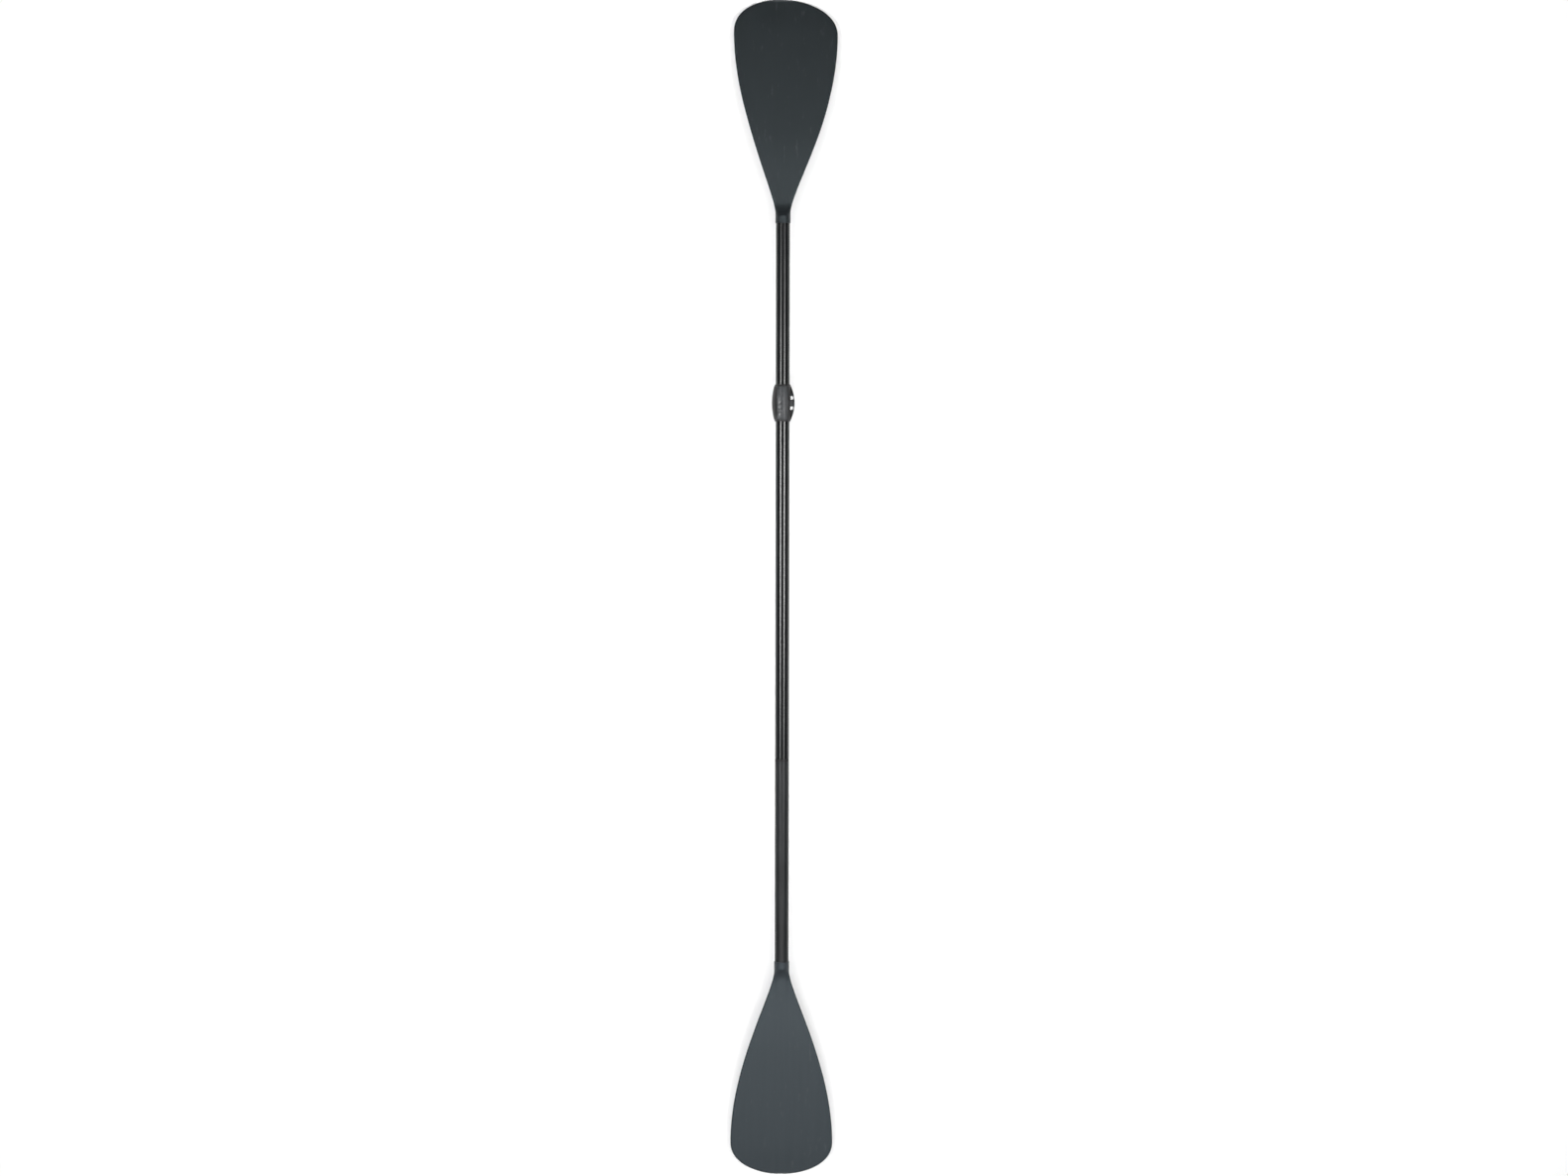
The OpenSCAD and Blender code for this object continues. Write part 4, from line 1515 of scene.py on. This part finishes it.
        self._mark_grooves(piece)
        dressed(piece, LEVER_NYLON)
        return mounted(piece, Body.LEVER, LEVER_NYLON, "clamp_lever")

    def build(self) -> None:
        """Builds the collar and the lever, and dresses the steel pieces."""
        self.collar()
        self.lever()
        repaint("clamp_pin", POLISHED_STEEL)
        repaint("wear_pad", DARK_STEEL)


# --------------------------------------------------------------------------------------- fasteners


@dataclass
class Fasteners:
    """The clamp's bolts and the blades' rivets, each laid by one node tree.

    Attributes:
        head_r: Radius of a bolt's head.
        head_h: Height of a bolt's head.
        shank_r: Radius of a bolt's shank.
        hex_r: Radius of the head's hexagon socket, over its corners.
        rivet_head_r: Radius of a rivet's head.
        rivet_head_h: Height of a rivet's head.
        rivet_r: Radius of a rivet's shank.
    """

    head_r: float = 0.0035
    head_h: float = 0.0036
    shank_r: float = 0.002
    hex_r: float = 0.00173
    rivet_head_r: float = 0.004
    rivet_head_h: float = 0.0015
    rivet_r: float = 0.002

    def _bolt(self, length: float) -> bpy.types.Object:
        """One socket-head bolt, its head's face at 0 and its shank up.

        Args:
            length: Its whole length.

        Returns:
            The bolt.
        """
        c = 0.0004
        outline = [(0, 0), (0, self.head_r - c), (c, self.head_r), (self.head_h - 0.0001, self.head_r),
                   (self.head_h, self.head_r - 0.0001), (self.head_h, self.shank_r + 0.0002),
                   (self.head_h + 0.0002, self.shank_r), (length - c, self.shank_r),
                   (length, self.shank_r - c), (length, 0)]
        bolt = turned("bolt_master", outline, (0, 0, 0), Along.UPRIGHT, 64)
        corners = [(self.hex_r * math.cos(a), self.hex_r * math.sin(a))
                   for a in (math.radians(60 * i) for i in range(6))]
        combine(bolt, Cut.AWAY, prism("hexagon", corners, -PAST, self.head_h - 0.0012, Along.UPRIGHT))
        return bolt

    def _rivet(self, length: float) -> bpy.types.Object:
        """One blind rivet, its dome below 0 and its shank up, with the broken stem's hollow in its head.

        Args:
            length: Length of its shank.

        Returns:
            The rivet.
        """
        r, h = self.rivet_head_r, self.rivet_head_h
        big = r * r / (2 * h) + h / 2
        top = math.asin(r / big)
        dome = [(big - h - big * math.cos(top * i / 12), big * math.sin(top * i / 12))
                for i in range(1, 13)]
        dome = [p for p in dome if p[1] > 0.00105]
        outline = [(-h + 0.0007, 0), (-h + 0.0007, 0.0009), (-h + 0.00006, 0.001)] + dome
        outline += [(0.0, self.rivet_r), (length, self.rivet_r), (length + 0.0003, self.rivet_r - 0.0003),
                    (length + 0.0003, 0)]
        return turned("rivet_master", outline, (0, 0, 0), Along.UPRIGHT, 64)

    @staticmethod
    def _row_tree(name: str, master: bpy.types.Object, finish: Finish) -> bpy.types.NodeTree:
        """A tree that lays copies of a master in a row.

        Args:
            name: The tree's name.
            master: What is laid.
            finish: The finish of the copies.

        Returns:
            The tree, with inputs Count, Start and Pitch.
        """
        tree = bpy.data.node_groups.new(name, "GeometryNodeTree")
        tree.interface.new_socket("Geometry", in_out="OUTPUT", socket_type="NodeSocketGeometry")
        for socket, kind in (("Count", "NodeSocketInt"), ("Start", "NodeSocketVector"),
                             ("Pitch", "NodeSocketVector")):
            tree.interface.new_socket(socket, in_out="INPUT", socket_type=kind)
        graph = Graph(tree)
        given = graph.node("NodeGroupInput")
        row = graph.node("GeometryNodeMeshLine", sockets={"Count": given.out("Count"),
                                                          "Start Location": given.out("Start"),
                                                          "Offset": given.out("Pitch")})
        info = graph.node("GeometryNodeObjectInfo", sockets={"Object": master, "As Instance": True})
        laid = graph.node("GeometryNodeInstanceOnPoints",
                          sockets={"Points": row, "Instance": info.out("Geometry")})
        plain = graph.node("GeometryNodeRealizeInstances", sockets={0: laid})
        coat = graph.node("GeometryNodeSetMaterial", sockets={"Geometry": plain})
        coat.node.inputs["Material"].default_value = finish.material()
        graph.node("NodeGroupOutput", sockets={0: coat})
        return tree

    @staticmethod
    def _lay(name: str, tree: bpy.types.NodeTree, start: Point, pitch: Point,
             count: int) -> bpy.types.Object:
        """Lays a row with a tree and turns it into a plain mesh.

        Args:
            name: The object's name.
            tree: The tree that lays it.
            start: Where the first copy goes.
            pitch: The step from each copy to the next.
            count: How many copies.

        Returns:
            The row.
        """
        holder = new_piece(name, [(0, 0, 0)], [])
        step = holder.modifiers.new("row", "NODES")
        step.node_group = tree
        values = {"Count": count, "Start": tuple(start), "Pitch": tuple(pitch)}
        for item in tree.interface.items_tree:
            if item.in_out == "INPUT":
                step[item.identifier] = values[item.name]
        return baked(holder)

    def build(self) -> None:
        """Lays the bolts and the rivets."""
        low, high, middle = span("clamp_bolts")
        bolt = self._bolt(high.z - low.z)
        tree = self._row_tree("bolt_row", bolt, PLATED_STEEL)
        pitch = (high.x - low.x) - 2 * self.head_r
        start = (middle.x - pitch / 2, middle.y, low.z)
        piece = self._lay("clamp_bolt_pair", tree, start, (pitch, 0, 0), 2)
        dressed(piece, PLATED_STEEL)
        mounted(piece, Body.MIDDLE, PLATED_STEEL, "clamp_bolts")
        bpy.data.objects.remove(bolt)
        low, high, _ = span("upper_blade_rivet")
        rivet = self._rivet(high.z - low.z - self.rivet_head_h - 0.0003)
        tree = self._row_tree("rivet_row", rivet, RIVET_ALLOY)
        for node, body in (("upper_blade_rivet", Body.UPPER), ("lower_blade_rivet", Body.LOWER)):
            low, _, middle = span(node)
            start = (middle.x, middle.y, low.z + self.rivet_head_h)
            piece = self._lay(node + "_head", tree, start, (0, 0, 0), 1)
            dressed(piece, RIVET_ALLOY)
            mounted(piece, body, RIVET_ALLOY, node)
        bpy.data.objects.remove(rivet)


# --------------------------------------------------------------------------------------- the joint


@dataclass
class SnapJoint:
    """The spring button of the lower joint and the pieces inside the shaft.

    Attributes:
        button_r: Radius of the button.
        dome: Height of its rounded end.
        flange_r: Radius of its inner flange.
        flange_t: Thickness of the flange.
    """

    button_r: float = 0.0035
    dome: float = 0.0012
    flange_r: float = 0.0047
    flange_t: float = 0.001

    def build(self) -> None:
        """Builds the button and dresses the inner pieces."""
        low, high, middle = span("snap_button")
        r, d, top = self.button_r, self.dome, high.z - low.z
        nose = [(d * (1 - math.cos(t)), (r - d) + d * math.sin(t)) for t in
                (math.radians(10 * i) for i in range(10))]
        flat = [(0.0, 0.0)] + [(0.0, r - d)] + nose[1:]
        neck = top - self.flange_t
        outline = flat + [(neck, r), (neck, self.flange_r - 0.0002), (neck + 0.0002, self.flange_r),
                          (top - 0.0002, self.flange_r), (top, self.flange_r - 0.0002), (top, 0.0)]
        piece = turned("snap_button_stud", outline, (middle.x, middle.y, low.z), Along.UPRIGHT, 64)
        dressed(piece, POLISHED_STEEL)
        mounted(piece, Body.BUTTON, POLISHED_STEEL, "snap_button")
        for node, finish in (("snap_spring", PLATED_STEEL), ("ferrule_plug", FOAM),
                             ("spigot_plug", BLACK_NYLON), ("guide_bush", NATURAL_NYLON),
                             ("bush_screw", PLATED_STEEL)):
            repaint(node, finish)


# -------------------------------------------------------------------------------------- the studio


@dataclass
class Studio:
    """The pale floor, the soft lights and the camera.

    Attributes:
        distance: Camera's distance from the shaft's axis.
        tilt: How far it is tipped towards the clamp's end, in degrees.
        roll: Its roll, in degrees.
        aim: X and Y that it looks at.
        lens: Its focal length, in millimetres.
        strip_angle: Angle of the strip lights off the upright, in degrees.
        strip_height: Height of the strip lights.
        overhead: Brightness of the surround overhead.
        horizon: Brightness of the surround at the horizon.
    """

    distance: float = 5.6
    tilt: float = 3.1
    roll: float = 0.109
    aim: tuple[float, float] = (0.01365, -0.0034)
    lens: float = 64.5
    strip_angle: float = 31.0
    strip_height: float = 2.0
    overhead: float = 0.32
    horizon: float = 0.04

    def floor(self) -> None:
        """A wide disc under the paddle."""
        steps, radius, level = 96, 14.0, -0.0004
        angles = [2 * math.pi * k / steps for k in range(steps)]
        points = [(radius * math.cos(a), radius * math.sin(a), level) for a in angles]
        piece = new_piece("studio_floor", points, [tuple(range(steps))])
        piece.data.materials.append(FLOOR_PAINT.material())

    @staticmethod
    def soft_box(name: str, place: Point, target: Point, size: tuple[float, float], power: float,
                 fade: tuple[float, float]) -> None:
        """An area light whose brightness fades towards its edges.

        Args:
            name: The light's name.
            place: Where it is.
            target: What it points at.
            size: Its size along X and across.
            power: Its power in watts.
            fade: How fast it fades along each side.
        """
        data = bpy.data.lights.new(name, "AREA")
        data.shape = "RECTANGLE"
        data.size, data.size_y = size
        data.energy = power
        data.use_nodes = True
        graph = Graph(data.node_tree)
        spot = graph.node("ShaderNodeNewGeometry", output="Parametric")
        u, v = graph.part(spot, X) - 0.5, graph.part(spot, Y) - 0.5
        far = u * u * fade[0] + v * v * fade[1]
        glow = graph.node("ShaderNodeMath", {"operation": "EXPONENT"}, {0: far * -1.0})
        light = graph.node("ShaderNodeEmission", sockets={"Strength": glow})
        graph.node("ShaderNodeOutputLight", sockets={"Surface": light})
        lamp = bpy.data.objects.new(name, data)
        lamp.location = place
        back = (Vector(place) - Vector(target)).normalized()
        side = Vector((1.0, 0.0, 0.0))
        side = (side - back * side.dot(back)).normalized()
        up = back.cross(side)
        axes = Matrix((side, up, back)).transposed().to_4x4()
        lamp.matrix_world = Matrix.Translation(Vector(place)) @ axes
        bpy.context.scene.collection.objects.link(lamp)

    def sky(self) -> None:
        """A soft surround, brighter overhead and dim at the horizon."""
        world = bpy.data.worlds.new("studio_surround")
        bpy.context.scene.world = world
        world.use_nodes = True
        graph = Graph(world.node_tree)
        way = graph.node("ShaderNodeTexCoord", output="Generated")
        lift = graph.part(way, Z).ease(0.15, 0.75)
        lean = 1.0 - graph.part(way, X).ease(-0.3, 0.5) * 0.45
        strength = lift * lean * self.overhead + self.horizon
        glow = graph.node("ShaderNodeBackground", sockets={"Color": (1.0, 1.0, 1.0), "Strength": strength})
        graph.node("ShaderNodeOutputWorld", sockets={"Surface": glow})

    def lights(self, axis_z: float) -> None:
        """Two strips over the shaft and a soft light over each blade.

        Args:
            axis_z: Height of the shaft's axis.
        """
        height = self.strip_height
        out = height * math.tan(math.radians(self.strip_angle))
        for name, side in (("strip_left", 1.0), ("strip_right", -1.0)):
            place = (0.10, side * out, axis_z + height)
            self.soft_box(name, place, (0.14, 0.0, axis_z), (2.6, 0.52), 250.0, (26.0, 9.0))
        self.soft_box("key", (-1.75, 0.0, 2.5), (-0.95, 0.0, 0.0), (1.5, 2.4), 78.0, (7.0, 6.0))
        self.soft_box("fill", (1.40, 0.0, 2.4), (0.85, 0.0, 0.0), (0.6, 1.8), 36.0, (7.0, 6.0))

    def camera(self, axis_z: float) -> None:
        """The camera, looking almost straight down on the paddle.

        Args:
            axis_z: Height of the shaft's axis.
        """
        data = bpy.data.cameras.new("view")
        data.lens = self.lens
        data.sensor_width = 36.0
        data.clip_end = 60.0
        lean, roll = math.radians(self.tilt), math.radians(self.roll)
        back = Vector((math.sin(lean), 0.0, math.cos(lean)))
        up = Vector((math.cos(lean), 0.0, -math.sin(lean)))
        right = Vector((0.0, -1.0, 0.0))
        turn = Matrix.Rotation(roll, 3, back)
        eye = bpy.data.objects.new("view", data)
        place = Vector((*self.aim, axis_z)) + back * self.distance
        axes = Matrix((turn @ right, turn @ up, back)).transposed().to_4x4()
        eye.matrix_world = Matrix.Translation(place) @ axes
        bpy.context.scene.collection.objects.link(eye)
        bpy.context.scene.camera = eye

    def build(self) -> None:
        """Sets up the floor, the lights, the camera and the picture's tone."""
        _, _, middle = span("middle_tube")
        self.floor()
        self.sky()
        self.lights(middle.z)
        self.camera(middle.z)
        look = bpy.context.scene.view_settings
        look.view_transform = "Standard"
        look.look = "None"
        look.exposure = 0.0
        look.gamma = 1.0


def main() -> None:
    """Builds the paddle's looks in order."""
    logging.basicConfig(level=logging.INFO, format="%(name)s: %(message)s")
    Studio().build()
    Blade("upper_blade", "upper_tube", Body.UPPER, UPPER_PLASTIC_PAINTED_SHADE, 1, slant=3.5, sweep=0.005).build()
    Blade("lower_blade", "lower_tube", Body.LOWER, LOWER_PLASTIC_PAINTED_LIGHT, -1).build()
    Shaft().build()
    Clamp().build()
    Fasteners().build()
    SnapJoint().build()


if __name__ == "__main__":
    main()
